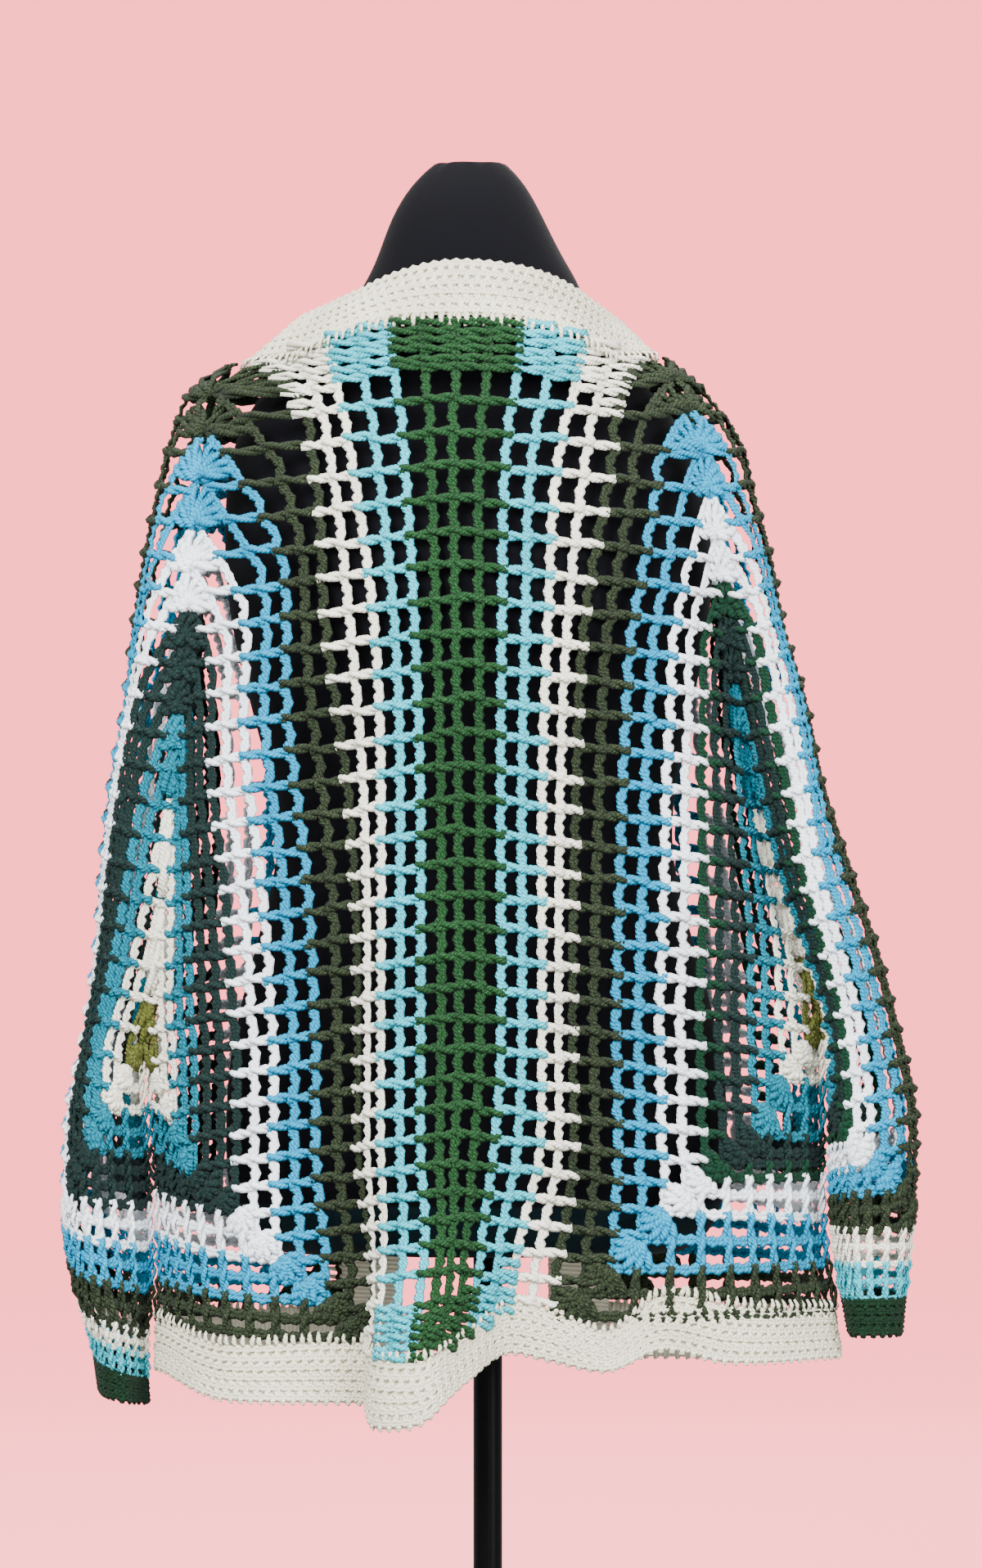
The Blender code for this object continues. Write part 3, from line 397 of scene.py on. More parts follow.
def layPosts(piece, place, a0, b0, a1, b1, tip=stitch["tip"], yarn=stitch["postYarn"],
             lift=stitch["postLift"], turns=stitch["postTurns"]):
    a0, b0, a1, b1 = (np.atleast_1d(np.asarray(v, float)) for v in (a0, b0, a1, b1))
    if not len(a0):
        return 0
    length = np.linalg.norm(place(a1, b1) - place(a0, b0), axis=1)
    start = -tip / np.maximum(length, stitch["leastPost"])
    steps = np.linspace(0, 1, len(stitch["postShape"]))
    t = start[:, None] + (stitch["postEnd"] - start[:, None]) * steps
    p, n = onCloth(place, a0[:, None] + (a1 - a0)[:, None] * t, b0[:, None] + (b1 - b0)[:, None] * t)
    phase = stitch["phaseSpread"] * random.standard_normal((len(a0), 1)) + 2 * np.pi * turns * steps
    twist = stitch["postTwist"] * yarn / stitch["twistYarn"] * np.array(stitch["twistShape"])
    dips = np.array(stitch["postDips"] if tip > stitch["fanTip"] else stitch["fanDips"])
    radii = yarn * np.array(stitch["postShape"])[None]
    for half in (0, np.pi):
        spin(piece, p, n, twist * np.cos(phase + half), lift + dips + twist * np.sin(phase + half), radii)
    return float(length.mean())


levelHeights = [stitch["firstPost"]]
while levelHeights[-1] > stitch["lastPost"]:
    levelHeights.append(levelHeights[-1] - float(readCurve(stitch["mesh"], levelHeights[-1]).ravel()[0]))
levelHeights = np.array(levelHeights)


def levels(rounds, low, high):  # heights of a column's posts, some rounds from the centre back
    z = levelHeights - stitch["fall"] * rounds
    return z[(z > low) & (z < high)]


def sagging(z, posts, amount):  # how far a chain stands off between its posts
    if len(posts) < 2:
        return 0 * z
    order = np.sort(posts)
    i = np.clip(np.searchsorted(order, z) - 1, 0, len(order) - 2)
    share = np.clip((z - order[i]) / (order[i + 1] - order[i]), 0, 1)
    return amount * np.sin(np.pi * share) ** 2


def yarnOf(side, r):
    names = ("lime", "cream", "cream", "teal", "teal", "forest", "forest",
             "forest" if side == "left" else "emerald", "white", "white", "blue", "blue", "olive", "olive")
    return names[r - 1]


def column(piece, place, across, r, low, high):  # a row of net that runs up and down
    ends = levels(sideRound - r, low + stitch["clearBottom"], high - stitch["clearTop"])
    z = np.arange(low, high, stitch["chainStep"])
    length = layChain(piece, place, across(r + sagging(z, ends, stitch["bow"])), z)
    jitter = stitch["uneven"] * random.standard_normal(len(ends))
    depth = layPosts(piece, place, across(r - 1) + 0 * ends, ends - stitch["fall"] + jitter,
                     across(r) + 0 * ends, ends + jitter)
    countArea(piece, length, max(depth, stitch["leastDepth"]))


def crossRow(piece, place, across, r, line, lineBefore):  # a row of net that runs along an edge
    many = int((r - stitch["clearRow"]) / stitch["meshRounds"])
    posts = np.arange(-many, many + 1) * stitch["meshRounds"]
    u = np.linspace(-r, r, 8 * r)
    z = line(abs(u)) - sagging(u, posts, stitch["rowSag"])
    length = layChain(piece, place, across(u), z, stitch["rowChain"])
    depth = layPosts(piece, place, across(posts), lineBefore(abs(posts)), across(posts), line(abs(posts)),
                     stitch["rowTip"])
    countArea(piece, length, max(depth, stitch["leastDepth"]))


def fan(piece, place, base, tops):  # the posts of one group at a corner
    a1, b1 = np.array([t[0] for t in tops], float), np.array([t[1] for t in tops], float)
    lean = np.linspace(*stitch["fanLean"], len(a1))
    a0 = base[0] + (a1 - base[0]) * lean * stitch["fanSplay"]
    b0 = base[1] + (b1 - base[1]) * lean * stitch["fanSplay"]
    layPosts(piece, place, a0, b0, a1, b1, stitch["fanTip"], stitch["fanYarn"], stitch["fanLift"],
             stitch["fanTurns"])


def fanReach(r):
    return min(1.0, stitch["fanStart"] + stitch["fanGrowth"] * r)


def upperCorner(piece, place, across, r, top, before):
    fan(piece, place, (across(r - 1), before),
        [(across(r), top - fanReach(r) * d) for d in stitch["topSteps"]])


def lowerCorner(piece, place, across, r, low, before, line):  # one group up the column, one along the row
    base = (across(r - 1), before)
    fan(piece, place, base, [(across(r), low + fanReach(r) * d) for d in stitch["fanSteps"]])
    along = [max(r - fanReach(r) * d / stitch["roundWidth"], stitch["leastRound"])
             for d in stitch["fanSteps"]]
    fan(piece, place, base, [(across(u), line(u)) for u in along])


def workRound(side, r):
    sign, sleeve = sideSign[side], placeSleeve(side)
    body, arm = side + "_body:" + yarnOf(side, r), side + "_sleeve:" + yarnOf(side, r)
    now = {name: float(roundHeight(side, name, r)) for name in roundColumns}
    last = {name: float(roundHeight(side, name, r - 1)) for name in roundColumns}
    hemLine = lambda u: now["fold"] + (now["bottom"] - now["fold"]) * u / r
    hemBefore = lambda u: last["fold"] + (last["bottom"] - last["fold"]) * u / max(r - 1, 1)
    cuffLine = lambda v: now["under"] + (now["seam"] - now["under"]) * v / roundCount
    cuffBefore = lambda v: last["under"] + (last["seam"] - last["under"]) * v / roundCount
    for half in (-1, 1):  # the back, then the front
        onBody = lambda u, half=half: sign * (sideRound + half * u)
        onSleeve = (lambda v: v) if (half > 0) == (side == "left") else (lambda v: aroundSleeve - v)
        column(body, placeBody, onBody, r, now["bottom"], now["top"])
        column(arm, sleeve, onSleeve, r, cuffLine(r), now["top"])
        lowerCorner(body, placeBody, onBody, r, now["bottom"], last["bottom"], hemLine)
        upperCorner(body, placeBody, onBody, r, now["top"], last["top"])
        upperCorner(arm, sleeve, onSleeve, r, now["top"], last["top"])
        lowerCorner(arm, sleeve, onSleeve, r, cuffLine(r), cuffBefore(r - 1), cuffLine)
    # above the hem, from the back's corner round the side fold to the front's, then round the sleeve's end
    crossRow(body, placeBody, lambda u: sign * (sideRound + u), r, hemLine, hemBefore)
    crossRow(arm, sleeve, lambda v: v, r, cuffLine, cuffBefore)


# The rows past a hexagon and the cuff. Their posts stand even numbers of rounds apart.
sleeveEnd = {"rows": 4, "creamRows": 2, "posts": 20, "postRounds": 1.4, "chain": 0.72, "sag": 1.0,
             "tip": 1.2, "yarn": 1.25, "cuffRows": 4, "chainPoints": 180, "cuffPoints": 113}


def workSleeveEnd(side):
    sleeve = placeSleeve(side)
    seam, under = (float(roundHeight(side, name, roundCount)) for name in ("seam", "under"))
    rowEnds, cuffEnds = cloth["sleeveEnds"][side]
    posts = np.arange(sleeveEnd["posts"]) * sleeveEnd["postRounds"]
    s = np.linspace(0, aroundSleeve, sleeveEnd["chainPoints"])
    around = lambda v: np.minimum(v % aroundSleeve, aroundSleeve - v % aroundSleeve) / roundCount
    line = lambda v, i: ((under + (rowEnds[1] - under) * i / sleeveEnd["rows"]) * (1 - around(v))
                         + (seam + (rowEnds[0] - seam) * i / sleeveEnd["rows"]) * around(v))
    for i in range(1, sleeveEnd["rows"] + 1):
        piece = side + "_rows:" + ("cream" if i <= sleeveEnd["creamRows"] else "aqua")
        z = line(s, i) - sagging(s, posts, sleeveEnd["sag"])
        length = layChain(piece, sleeve, s, z, sleeveEnd["chain"])
        depth = layPosts(piece, sleeve, posts, line(posts, i - 1), posts, line(posts, i),
                         sleeveEnd["tip"], sleeveEnd["yarn"])
        countArea(piece, length, depth)
    turn = np.linspace(0, aroundSleeve, sleeveEnd["cuffPoints"])
    lower, upper = (sleeve(turn, ends[1] + (ends[0] - ends[1]) * around(turn))
                    for ends in (cuffEnds, rowEnds))
    place, length = bandOf(lower, upper, True)
    denseBand(side + "_cuff", "cuff", place, length, sleeveEnd["cuffRows"])


# The bands: a braid over each row, legs under it, and the yarn's thickness behind them.
dense = {
    "step": 6.8, "reach": (2.0, 0.05), "pointStep": 3,
    "braid": 0.86, "braidLift": 0.6, "braidAt": 0.6,  # how far up its row the braid lies
    "legYarn": 2.0, "legAt": 0.55, "legDown": (0.95, 0.1), "legLean": 0.7, "legUneven": 0.35,
    "legShape": (0.8, 1.0, 0.9), "legLifts": (-0.4, 0.2, -0.2),
    "coreFront": -0.2, "coreBack": -2.0, "coreStep": 3.2, "corePoints": 7, "coreInset": 0.015,
    # long stitches from the band's edge into the net
    "toothYarn": 1.15, "toothStep": 5.2, "toothStart": -0.15, "toothLean": (0, 0.6, 1.2), "toothUneven": 0.9,
    "toothShape": (1.2, 1.1, 0.75), "toothLifts": (0.8, 2.4, 0.6),
}


def layBraids(stitches, place, length, rows):
    step = length / round(length / dense["step"])
    for i in range(rows):
        first = 0.5 * (i % 2) * step
        s = np.linspace(first, length, int(length / dense["pointStep"]))
        level = (i + dense["braidAt"]) / rows
        layChain(stitches, place, s, 0 * s + level, dense["braid"], dense["braidLift"], step)
        at = first + (np.arange(int(length / step) - i % 2) + dense["legAt"]) * step
        down, up = dense["legDown"]
        t = np.linspace(level - down / rows, level - up / rows, 3).clip(0.01, 0.99)
        a = np.repeat(at[:, None], 3, axis=1) + dense["legUneven"] * random.standard_normal((len(at), 1))
        p, n = onCloth(place, a, np.repeat(t[None], len(at), axis=0), dense["reach"])
        lean = dense["legLean"] * (-1) ** i * np.array([[-1, 0, 1]])
        radii = dense["legYarn"] * np.array([dense["legShape"]])
        spin(stitches, p, n, lean, np.array([dense["legLifts"]]), radii, strand["legSides"])


def layCore(core, place, length):  # the thickness of the yarn under the stitches
    s = np.linspace(0, length, int(length / dense["coreStep"]))
    t = np.linspace(dense["coreInset"], 1 - dense["coreInset"], dense["corePoints"])
    middle = dense["corePoints"] // 2
    p, n = onCloth(place, np.repeat(s[:, None], len(t), axis=1), np.repeat(t[None], len(s), axis=0),
                   dense["reach"])
    front, back = p + dense["coreFront"] * n, p + dense["coreBack"] * n
    across = np.cross(n[:-1, middle], p[1:, middle] - p[:-1, middle])
    if (across * (p[:-1, -1] - p[:-1, 0])).sum() > 0:  # so that its faces point outwards
        front, back = front[:, ::-1], back[:, ::-1]
    ring = np.concatenate([front, back[:, ::-1]], axis=1)[None]
    spun.setdefault(core, []).append((ring, s[None]))
    wide = np.linalg.norm(p[:, -1] - p[:, 0], axis=1).mean()
    run = np.linalg.norm(np.diff(p[:, middle], axis=0), axis=1).sum()
    countArea(core, run, wide)


def layTeeth(stitches, place, length, edge, towards):
    at = np.arange(0.5, length / dense["toothStep"] - 0.5) * dense["toothStep"]
    t = edge + (towards - edge) * np.linspace(dense["toothStart"], 1, 3)
    lean = dense["toothUneven"] * random.standard_normal((len(at), 1))
    a = at[:, None] + lean * np.array([dense["toothLean"]])
    p, n = onCloth(place, a, np.repeat(t[None], len(at), axis=0), dense["reach"])
    radii = dense["toothYarn"] * np.array([dense["toothShape"]])
    spin(stitches, p, n, np.zeros((1, 3)), np.array([dense["toothLifts"]]), radii)


def denseBand(piece, yarn, place, length, rows, teeth=None):
    layBraids(piece + "_stitches:" + yarn, place, length, rows)
    layCore(piece + ":" + yarn, place, length)
    if teeth:
        layTeeth(piece + "_stitches:" + yarn, place, length, *teeth)


def hemHeight(a, which):  # 0 is the hem band's upper edge, 1 its lower
    return readCurve(cloth["hemEdges"], a)[..., which]


panel = {
    "colours": ("green", "green", "aqua", "aqua", "cream", "cream"),  # from the middle out
    "top": 1.5,  # clear of the collar
    "denseTop": 32.0, "denseBottom": 38.0, "denseStep": 5.7,  # where the posts stand close
    "denseRows": 4, "openBottom": 6,  # the outer rows are open down to the hem
    "denseFirst": 2, "denseLow": 3, "denseClear": 2, "bow": 0.14,
}


def workCentrePanel():
    for sign in (-1, 1):
        for k in range(stripCount - 1, -1, -1):
            piece = "centre_back:" + panel["colours"][k]
            a = sign * k
            low = float(hemHeight(np.array([a]), 0)[0])
            high = float(readCurve(cloth["collarTops"], np.array([a]))[0, 0]) - panel["top"]
            openFrom = low + (panel["denseBottom"] if k < panel["denseRows"] else panel["openBottom"])
            openTo = high - panel["denseTop"]
            z = levels(k, openFrom, openTo)
            above = np.arange(high - panel["denseFirst"], openTo, -panel["denseStep"])
            below = np.arange(low + panel["denseLow"], openFrom - panel["denseClear"], panel["denseStep"])
            every = np.concatenate([z, above, below])
            if k or sign > 0:  # the middle chain is worked once
                line = np.arange(low, high, stitch["chainStep"])
                length = layChain(piece, placeBody, a - sign * sagging(line, z, panel["bow"]), line)
            ends = every + stitch["uneven"] * random.standard_normal(len(every))
            depth = layPosts(piece, placeBody, sign * (k + 1) + 0 * ends, ends - stitch["fall"],
                             a + 0 * ends, ends)
            countArea(piece, length, depth)


hem = {"rows": 6, "teeth": (1.0, 1.18), "sidePoints": 160, "backPoints": 90, "seam": 0.2}


def workHem():
    back = stripCount - hem["seam"]
    a = np.concatenate([np.linspace(-edgeRound, -stripCount, hem["sidePoints"]),
                        np.linspace(-back, back, hem["backPoints"]),
                        np.linspace(stripCount, edgeRound, hem["sidePoints"])])
    place, length = bandOf(placeBody(a, hemHeight(a, 1)), placeBody(a, hemHeight(a, 0)), False)
    denseBand("hem", "band", place, length, hem["rows"], hem["teeth"])


# Up one front from its bottom, over the bend where it leaves the chest, round the neck and down.
collar = {"rows": 6, "teeth": (0.0, -0.2), "bottom": 229, "bend": (690, 695),
          "frontPoints": 120, "chestPoints": 60, "neckPoints": 90}


def workCollar():
    joined, free = [], []  # the edge on the net and the free edge
    for side, sign in sideSign.items():
        z = np.concatenate([np.linspace(collar["bottom"], collar["bend"][0], collar["frontPoints"]),
                            np.linspace(collar["bend"][1], roundHeight(side, "top", roundCount),
                                        collar["chestPoints"])])
        outer = placeBody(sign * edgeRound + 0 * z, z)
        inner = readCurve(cloth["collar" + side.title()], z) * (sign, 1, 1)
        joined.append(outer if side == "left" else outer[::-1])
        free.append(inner if side == "left" else inner[::-1])
    neck = np.linspace(-stripCount, stripCount, collar["neckPoints"])
    joined.insert(1, placeBody(neck, readCurve(cloth["collarTops"], neck)[:, 0]))
    free.insert(1, readCurve(cloth["collarBack"], neck))
    place, length = bandOf(np.concatenate(joined), np.concatenate(free), False)
    denseBand("collar", "band", place, length, collar["rows"], collar["teeth"])


for side in sideSign:
    for r in range(1, roundCount + 1):
        workRound(side, r)
    workSleeveEnd(side)
    print(side, "hexagon, rows and cuff worked")
workCentrePanel()
print("centre back worked")
workHem()
workCollar()
print("bands worked")


# Yarns: colour, colour of its flecks, share of flecks, how far the plies stand out and how dark the painted
# shade between them is.
yarns = {
    "lime": ((0.09, 0.1, 0.016), (0.17, 0.19, 0.055), 0.4, 1.0),
    "cream": ((0.86, 0.84, 0.71), (0.92, 0.90, 0.82), 0.2, 0.5),
    "teal": ((0.0, 0.17, 0.25), (0.01, 0.30, 0.42), 0.35, 1.0),
    "forest": ((0.005, 0.017, 0.0155), (0.012, 0.04, 0.036), 0.35, 0.8),
    "emerald": ((0.003, 0.033, 0.015), (0.006, 0.06, 0.026), 0.3, 0.9),
    "white": ((0.84, 0.88, 0.93), (0.90, 0.93, 0.96), 0.15, 0.4),
    "blue": ((0.0, 0.28, 0.50), (0.0, 0.40, 0.68), 0.3, 0.9),
    "olive": ((0.012, 0.018, 0.0095), (0.047, 0.07, 0.03), 0.5, 1.0),
    "aqua": ((0.03, 0.50, 0.62), (0.12, 0.70, 0.80), 0.3, 0.9),
    "green": ((0.007, 0.043, 0.012), (0.03, 0.12, 0.035), 0.45, 1.0),
    "band": ((0.80, 0.76, 0.58), (0.88, 0.85, 0.70), 0.3, 0.6),
    "cuff": ((0.0037, 0.021, 0.008), (0.008, 0.043, 0.015), 0.35, 0.9),
}
# What they share. Bump heights are in metres, and `turns` is how fast the plies wind round a strand. The
# colour is also darkened between the plies, as painted shade.
spinning = {"roughness": 0.82, "sheen": 0.03, "sheenRoughness": 0.5, "specular": 0.12,
            "fleckScale": 1300, "fleckEdges": (0.62, 0.78), "driftScale": 22, "drift": (0.86, 1.08),
            "turns": (0.36, 2.0, 1), "groove": 0.38, "plyHeight": 0.0005, "fuzzHeight": 0.0004}


def plainMaterial(name, colour, roughness):
    material = bpy.data.materials.new(name)
    material.use_nodes = True
    shader = material.node_tree.nodes["Principled BSDF"]
    shader.inputs["Base Color"].default_value = colour + (1,)
    shader.inputs["Roughness"].default_value = roughness
    return material, material.node_tree.nodes, material.node_tree.links, shader


def addNode(nodes, kind, operation=None, **values):  # sockets by their names, without the spaces
    node = nodes.new("ShaderNode" + kind)
    if operation:
        node.operation = operation
    for socket in node.inputs:
        if socket.name.replace(" ", "") in values and socket.enabled:
            socket.default_value = values[socket.name.replace(" ", "")]
    return node


def yarnMaterial(name):
    colour, fleck, share, plies = yarns[name]
    material, nodes, links, shader = plainMaterial("yarn_" + name, colour, spinning["roughness"])
    shader.inputs["Sheen Weight"].default_value = spinning["sheen"]
    shader.inputs["Sheen Roughness"].default_value = spinning["sheenRoughness"]
    shader.inputs["Specular IOR Level"].default_value = spinning["specular"]
    place = addNode(nodes, "TexCoord")
    flecks = addNode(nodes, "TexNoise", Scale=spinning["fleckScale"], Detail=2)  # single fibres
    ramp = addNode(nodes, "ValToRGB")
    for element, edge, shade in zip(ramp.color_ramp.elements, spinning["fleckEdges"], (colour, fleck)):
        element.position = edge - 0.3 * share
        element.color = shade + (1,)
    drift = addNode(nodes, "TexNoise", Scale=spinning["driftScale"], Detail=2)  # from skein to skein
    shade = addNode(nodes, "MapRange", FromMin=0.3, FromMax=0.7,
                    ToMin=spinning["drift"][0], ToMax=spinning["drift"][1])
    groove = addNode(nodes, "MapRange", FromMin=-1, FromMax=0.2,  # painted shade, darker between the plies
                     ToMin=1 - spinning["groove"] * plies, ToMax=1)
    driftAndPlyShade = addNode(nodes, "Math", "MULTIPLY")
    mixed = addNode(nodes, "VectorMath", "SCALE")
    uv = nodes.new("ShaderNodeUVMap")
    uv.uv_map = "yarn"
    turned = addNode(nodes, "Mapping", Scale=spinning["turns"])
    split = addNode(nodes, "SeparateXYZ")
    both = addNode(nodes, "Math")
    phase = addNode(nodes, "Math", "MULTIPLY")
    phase.inputs[1].default_value = 2 * math.pi
    wave = addNode(nodes, "Math", "SINE")
    ply = addNode(nodes, "Bump", Strength=0.8, Distance=spinning["plyHeight"] * plies)
    fuzz = addNode(nodes, "Bump", Strength=0.35, Distance=spinning["fuzzHeight"])
    links.new(place.outputs["Object"], flecks.inputs["Vector"])
    links.new(place.outputs["Object"], drift.inputs["Vector"])
    links.new(flecks.outputs["Fac"], ramp.inputs["Fac"])
    links.new(drift.outputs["Fac"], shade.inputs["Value"])
    links.new(ramp.outputs["Color"], mixed.inputs[0])
    # the painted shade between the plies darkens the yarn's colour, together with the skein drift
    links.new(wave.outputs["Value"], groove.inputs["Value"])
    links.new(groove.outputs["Result"], driftAndPlyShade.inputs[0])
    links.new(shade.outputs["Result"], driftAndPlyShade.inputs[1])
    links.new(driftAndPlyShade.outputs["Value"], mixed.inputs["Scale"])
    links.new(mixed.outputs["Vector"], shader.inputs["Base Color"])
    links.new(uv.outputs["UV"], turned.inputs["Vector"])
    links.new(turned.outputs["Vector"], split.inputs["Vector"])
    links.new(split.outputs["X"], both.inputs[0])
    links.new(split.outputs["Y"], both.inputs[1])
    links.new(both.outputs["Value"], phase.inputs[0])
    links.new(phase.outputs["Value"], wave.inputs[0])
    links.new(wave.outputs["Value"], ply.inputs["Height"])
    links.new(flecks.outputs["Fac"], fuzz.inputs["Height"])
    links.new(ply.outputs["Normal"], fuzz.inputs["Normal"])
    links.new(fuzz.outputs["Normal"], shader.inputs["Normal"])
    return material


materials = {name: yarnMaterial(name) for name in yarns}
# piece: the solid that it stands for, its finish, and the width of its strip of cloth in metres
worked = {
    "left_body": ("hexagon_left_body", "round_yarns", 0.2),
    "left_sleeve": ("hexagon_left_sleeve", "round_yarns", 0.2),
    "right_body": ("hexagon_right_body", "round_yarns", 0.2),
    "right_sleeve": ("hexagon_right_sleeve", "round_yarns", 0.2),
    "centre_back": ("centre_back_panel", "panel_yarns", 0.15),
    "left_rows": ("sleeve_rows_left", "panel_yarns", 0.03),
    "right_rows": ("sleeve_rows_right", "panel_yarns", 0.04),
    "left_cuff": ("cuff_left", "cuff_yarn", 0.02),
    "right_cuff": ("cuff_right", "cuff_yarn", 0.024),
    "hem": ("hem_band", "band_yarn", 0.036),
    "collar": ("collar_band", "band_yarn", 0.038),
}
for piece, (node, finish, wide) in worked.items():
    kinds = sorted(name.split(":")[1] for name in spun if name.split(":")[0] == piece)
    made, raised = build(piece, kinds), []
    if piece + "_stitches:" + kinds[0] in spun:
        raised = [build(piece + "_stitches", kinds)]
    for each in [made] + raised:
        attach(each, "root")
        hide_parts(node)

# The dress form, its pole and base. Below `lowerTop`, in metres, the form's cover is a dark teal.
form = {"cover": (0.0015, 0.0015, 0.0029), "lower": (0.002, 0.009, 0.012), "lowerTop": 0.333,
        "metal": (0.0008, 0.0008, 0.0012), "roughness": 0.88, "sheen": 0.02, "specular": 0.1,
        "knitScale": 900, "knitHeight": 0.0005, "foldScale": 9, "foldStretch": 0.35, "foldHeight": 0.006,
        "metalRoughness": (0.28, 0.48), "metalSpecular": 0.08, "grainScale": 240, "grainHeight": 0.0004}


def coverMaterial():
    material, nodes, links, shader = plainMaterial("form_cover", form["cover"], form["roughness"])
    shader.inputs["Sheen Weight"].default_value = form["sheen"]
    shader.inputs["Specular IOR Level"].default_value = form["specular"]
    place = addNode(nodes, "TexCoord")
    split = addNode(nodes, "SeparateXYZ")
    edge = addNode(nodes, "MapRange", FromMin=form["lowerTop"], FromMax=form["lowerTop"] + 0.002)
    mix = nodes.new("ShaderNodeMix")
    mix.data_type = "RGBA"
    mix.inputs["A"].default_value = form["lower"] + (1,)
    mix.inputs["B"].default_value = form["cover"] + (1,)
    stretch = addNode(nodes, "Mapping", Scale=(1, 1, form["foldStretch"]))
    folds = addNode(nodes, "TexNoise", Scale=form["foldScale"], Detail=3)
    broad = addNode(nodes, "Bump", Strength=0.5, Distance=form["foldHeight"])
    knit = addNode(nodes, "TexNoise", Scale=form["knitScale"])
    fine = addNode(nodes, "Bump", Strength=0.4, Distance=form["knitHeight"])
    links.new(place.outputs["Object"], split.inputs["Vector"])
    links.new(split.outputs["Z"], edge.inputs["Value"])
    links.new(edge.outputs["Result"], mix.inputs["Factor"])
    links.new(mix.outputs["Result"], shader.inputs["Base Color"])
    links.new(place.outputs["Object"], knit.inputs["Vector"])
    links.new(place.outputs["Object"], stretch.inputs["Vector"])
    links.new(stretch.outputs["Vector"], folds.inputs["Vector"])
    links.new(folds.outputs["Fac"], broad.inputs["Height"])
    links.new(knit.outputs["Fac"], fine.inputs["Height"])
    links.new(broad.outputs["Normal"], fine.inputs["Normal"])
    links.new(fine.outputs["Normal"], shader.inputs["Normal"])
    return material


def paintMaterial():
    material, nodes, links, shader = plainMaterial("stand_paint", form["metal"], form["metalRoughness"][0])
    shader.inputs["Specular IOR Level"].default_value = form["metalSpecular"]
    place = addNode(nodes, "TexCoord")
    grain = addNode(nodes, "TexNoise", Scale=form["grainScale"])
    rough = addNode(nodes, "MapRange", ToMin=form["metalRoughness"][0], ToMax=form["metalRoughness"][1])
    bump = addNode(nodes, "Bump", Strength=0.12, Distance=form["grainHeight"])
    links.new(place.outputs["Object"], grain.inputs["Vector"])
    links.new(grain.outputs["Fac"], rough.inputs["Value"])
    links.new(rough.outputs["Result"], shader.inputs["Roughness"])
    links.new(grain.outputs["Fac"], bump.inputs["Height"])
    links.new(bump.outputs["Normal"], shader.inputs["Normal"])
    return material


bpy.ops.object.select_all(action="DESELECT")
cover = bpy.data.objects.new("form_cover", frame["nodes"]["dress_form"].data.copy())
bpy.context.scene.collection.objects.link(cover)
bpy.context.view_layer.objects.active = cover
cover.select_set(True)
bpy.ops.object.mode_set(mode="EDIT")
bpy.ops.mesh.select_all(action="SELECT")
bpy.ops.mesh.remove_doubles(threshold=0.00005)
bpy.ops.mesh.tris_convert_to_quads(face_threshold=0.9, shape_threshold=0.9)
bpy.ops.object.mode_set(mode="OBJECT")
smoother = cover.modifiers.new("smoother", "SUBSURF")
smoother.levels = smoother.render_levels = 2
bpy.ops.object.modifier_apply(modifier="smoother")
bpy.ops.object.shade_smooth()
cover.data.materials.clear()
cover.data.materials.append(coverMaterial())
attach(cover, "root")
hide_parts("dress_form")
paint = paintMaterial()
for name in ("stand_pole", "stand_base"):
    frame["nodes"][name].data.materials.clear()
    frame["nodes"][name].data.materials.append(paint)
print("form and stand finished")

# Backdrop, light and camera, in metres and watts. Each lamp has its place, the height that it points
# at, its size and its power, and `seen` is the height in the picture at the garment's back.
studio = {
    "paper": (0.5, 0.2, 0.22), "paperRoughness": 0.95, "glow": (3.55, 0.52, 0.63), "glowStrength": 0.96,
    "floorRadius": 7.5, "coveRadius": 1.6, "coveSteps": 8, "wall": 6.0, "sides": 96, "under": 0.0005,
    "lamps": {"key": ((-1.5, -2.9, 2.2), 0.55, 1.8, 300), "fill": ((2.1, -2.5, 1.3), 0.55, 2.0, 185),
              "top": ((0.0, 0.0, 3.0), 0.5, 2.0, 90), "behind": ((0.6, 2.0, 1.8), 0.55, 1.8, 34)},
    "sky": (1.0, 0.97, 0.95), "skyStrength": 0.8,
    "distance": 5.0, "aim": (0.004, 0.5935), "plane": -0.11, "seen": 0.958, "sensor": 24,
}


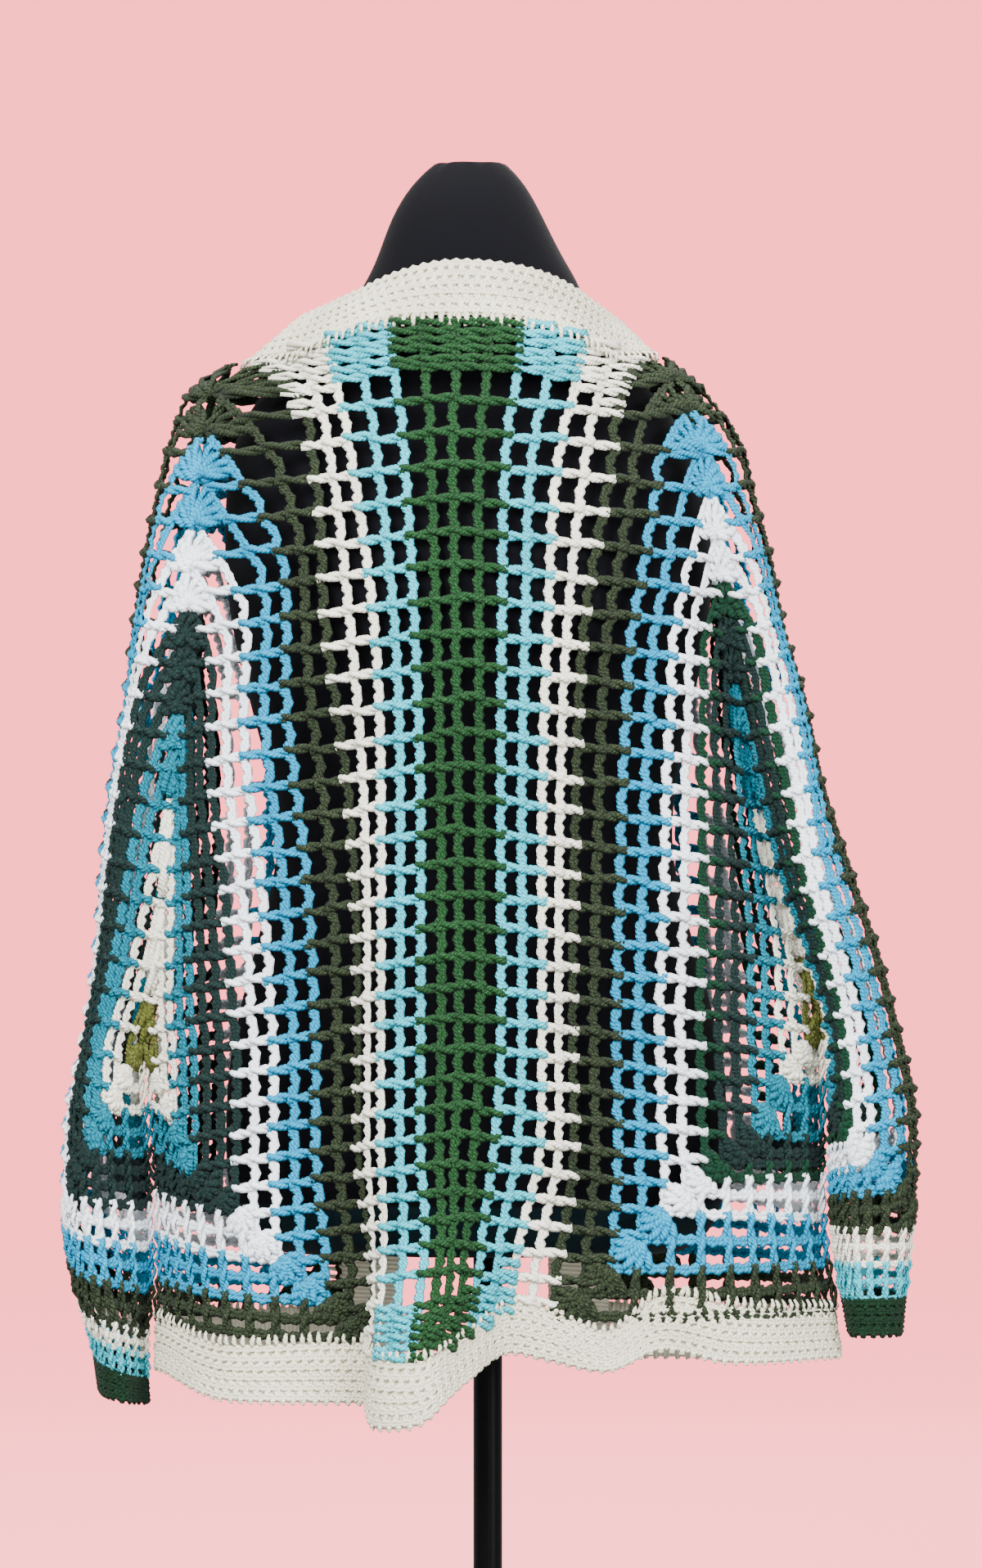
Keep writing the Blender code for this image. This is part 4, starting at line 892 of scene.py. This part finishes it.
def layBackdrop():  # a round floor that curves up into a wall
    bpy.ops.object.select_all(action="DESELECT")
    bpy.ops.mesh.primitive_circle_add(vertices=studio["sides"], radius=studio["floorRadius"],
                                      fill_type="NGON", location=(0, 0, -studio["under"]))
    backdrop = bpy.context.object
    backdrop.name = "backdrop"
    bpy.ops.object.mode_set(mode="EDIT")
    bpy.ops.mesh.select_all(action="SELECT")
    bpy.ops.mesh.region_to_loop()
    ringRadius, ringHeight, steps = studio["floorRadius"], 0.0, studio["coveSteps"]
    for step in range(1, steps + 2):
        angle = min(step, steps) * math.pi / (2 * steps)
        radius = studio["floorRadius"] + studio["coveRadius"] * math.sin(angle)
        height = studio["coveRadius"] * (1 - math.cos(angle)) + (studio["wall"] if step > steps else 0)
        bpy.ops.mesh.extrude_region_move(TRANSFORM_OT_translate={"value": (0, 0, height - ringHeight)})
        bpy.ops.transform.resize(value=(radius / ringRadius, radius / ringRadius, 1),
                                 center_override=(0, 0, 0))
        ringRadius, ringHeight = radius, height
    bpy.ops.object.mode_set(mode="OBJECT")
    bpy.ops.object.shade_smooth()
    paper, nodes, links, shader = plainMaterial("paper", studio["paper"], studio["paperRoughness"])
    shader.inputs["Emission Color"].default_value = studio["glow"] + (1,)
    shader.inputs["Emission Strength"].default_value = studio["glowStrength"]
    backdrop.data.materials.append(paper)
    backdrop.visible_diffuse = backdrop.visible_glossy = False  # it casts no pink light on the yarn
    backdrop.visible_shadow = False


def softbox(name, place, height, size, power):
    lamp = bpy.data.lights.new(name, "AREA")
    lamp.shape, lamp.size, lamp.energy = "SQUARE", size, power
    light = bpy.data.objects.new(name, lamp)
    light.location = place
    light.rotation_euler = (Vector((0, 0, height)) - Vector(place)).to_track_quat("-Z", "Y").to_euler()
    bpy.context.scene.collection.objects.link(light)


layBackdrop()
for name, values in studio["lamps"].items():
    softbox(name, *values)
world = bpy.data.worlds.new("studio")
world.use_nodes = True
world.node_tree.nodes["Background"].inputs["Color"].default_value = studio["sky"] + (1,)
world.node_tree.nodes["Background"].inputs["Strength"].default_value = studio["skyStrength"]
bpy.context.scene.world = world

lens = bpy.data.cameras.new("camera")
lens.sensor_fit = "VERTICAL"
lens.sensor_height = studio["sensor"]
lens.lens = studio["sensor"] * studio["distance"] / studio["seen"]
camera = bpy.data.objects.new("camera", lens)
camera.location = (studio["aim"][0], studio["plane"] - studio["distance"], studio["aim"][1])
camera.rotation_euler = (math.pi / 2, 0, 0)
bpy.context.scene.collection.objects.link(camera)
bpy.context.scene.camera = camera
print("studio set")
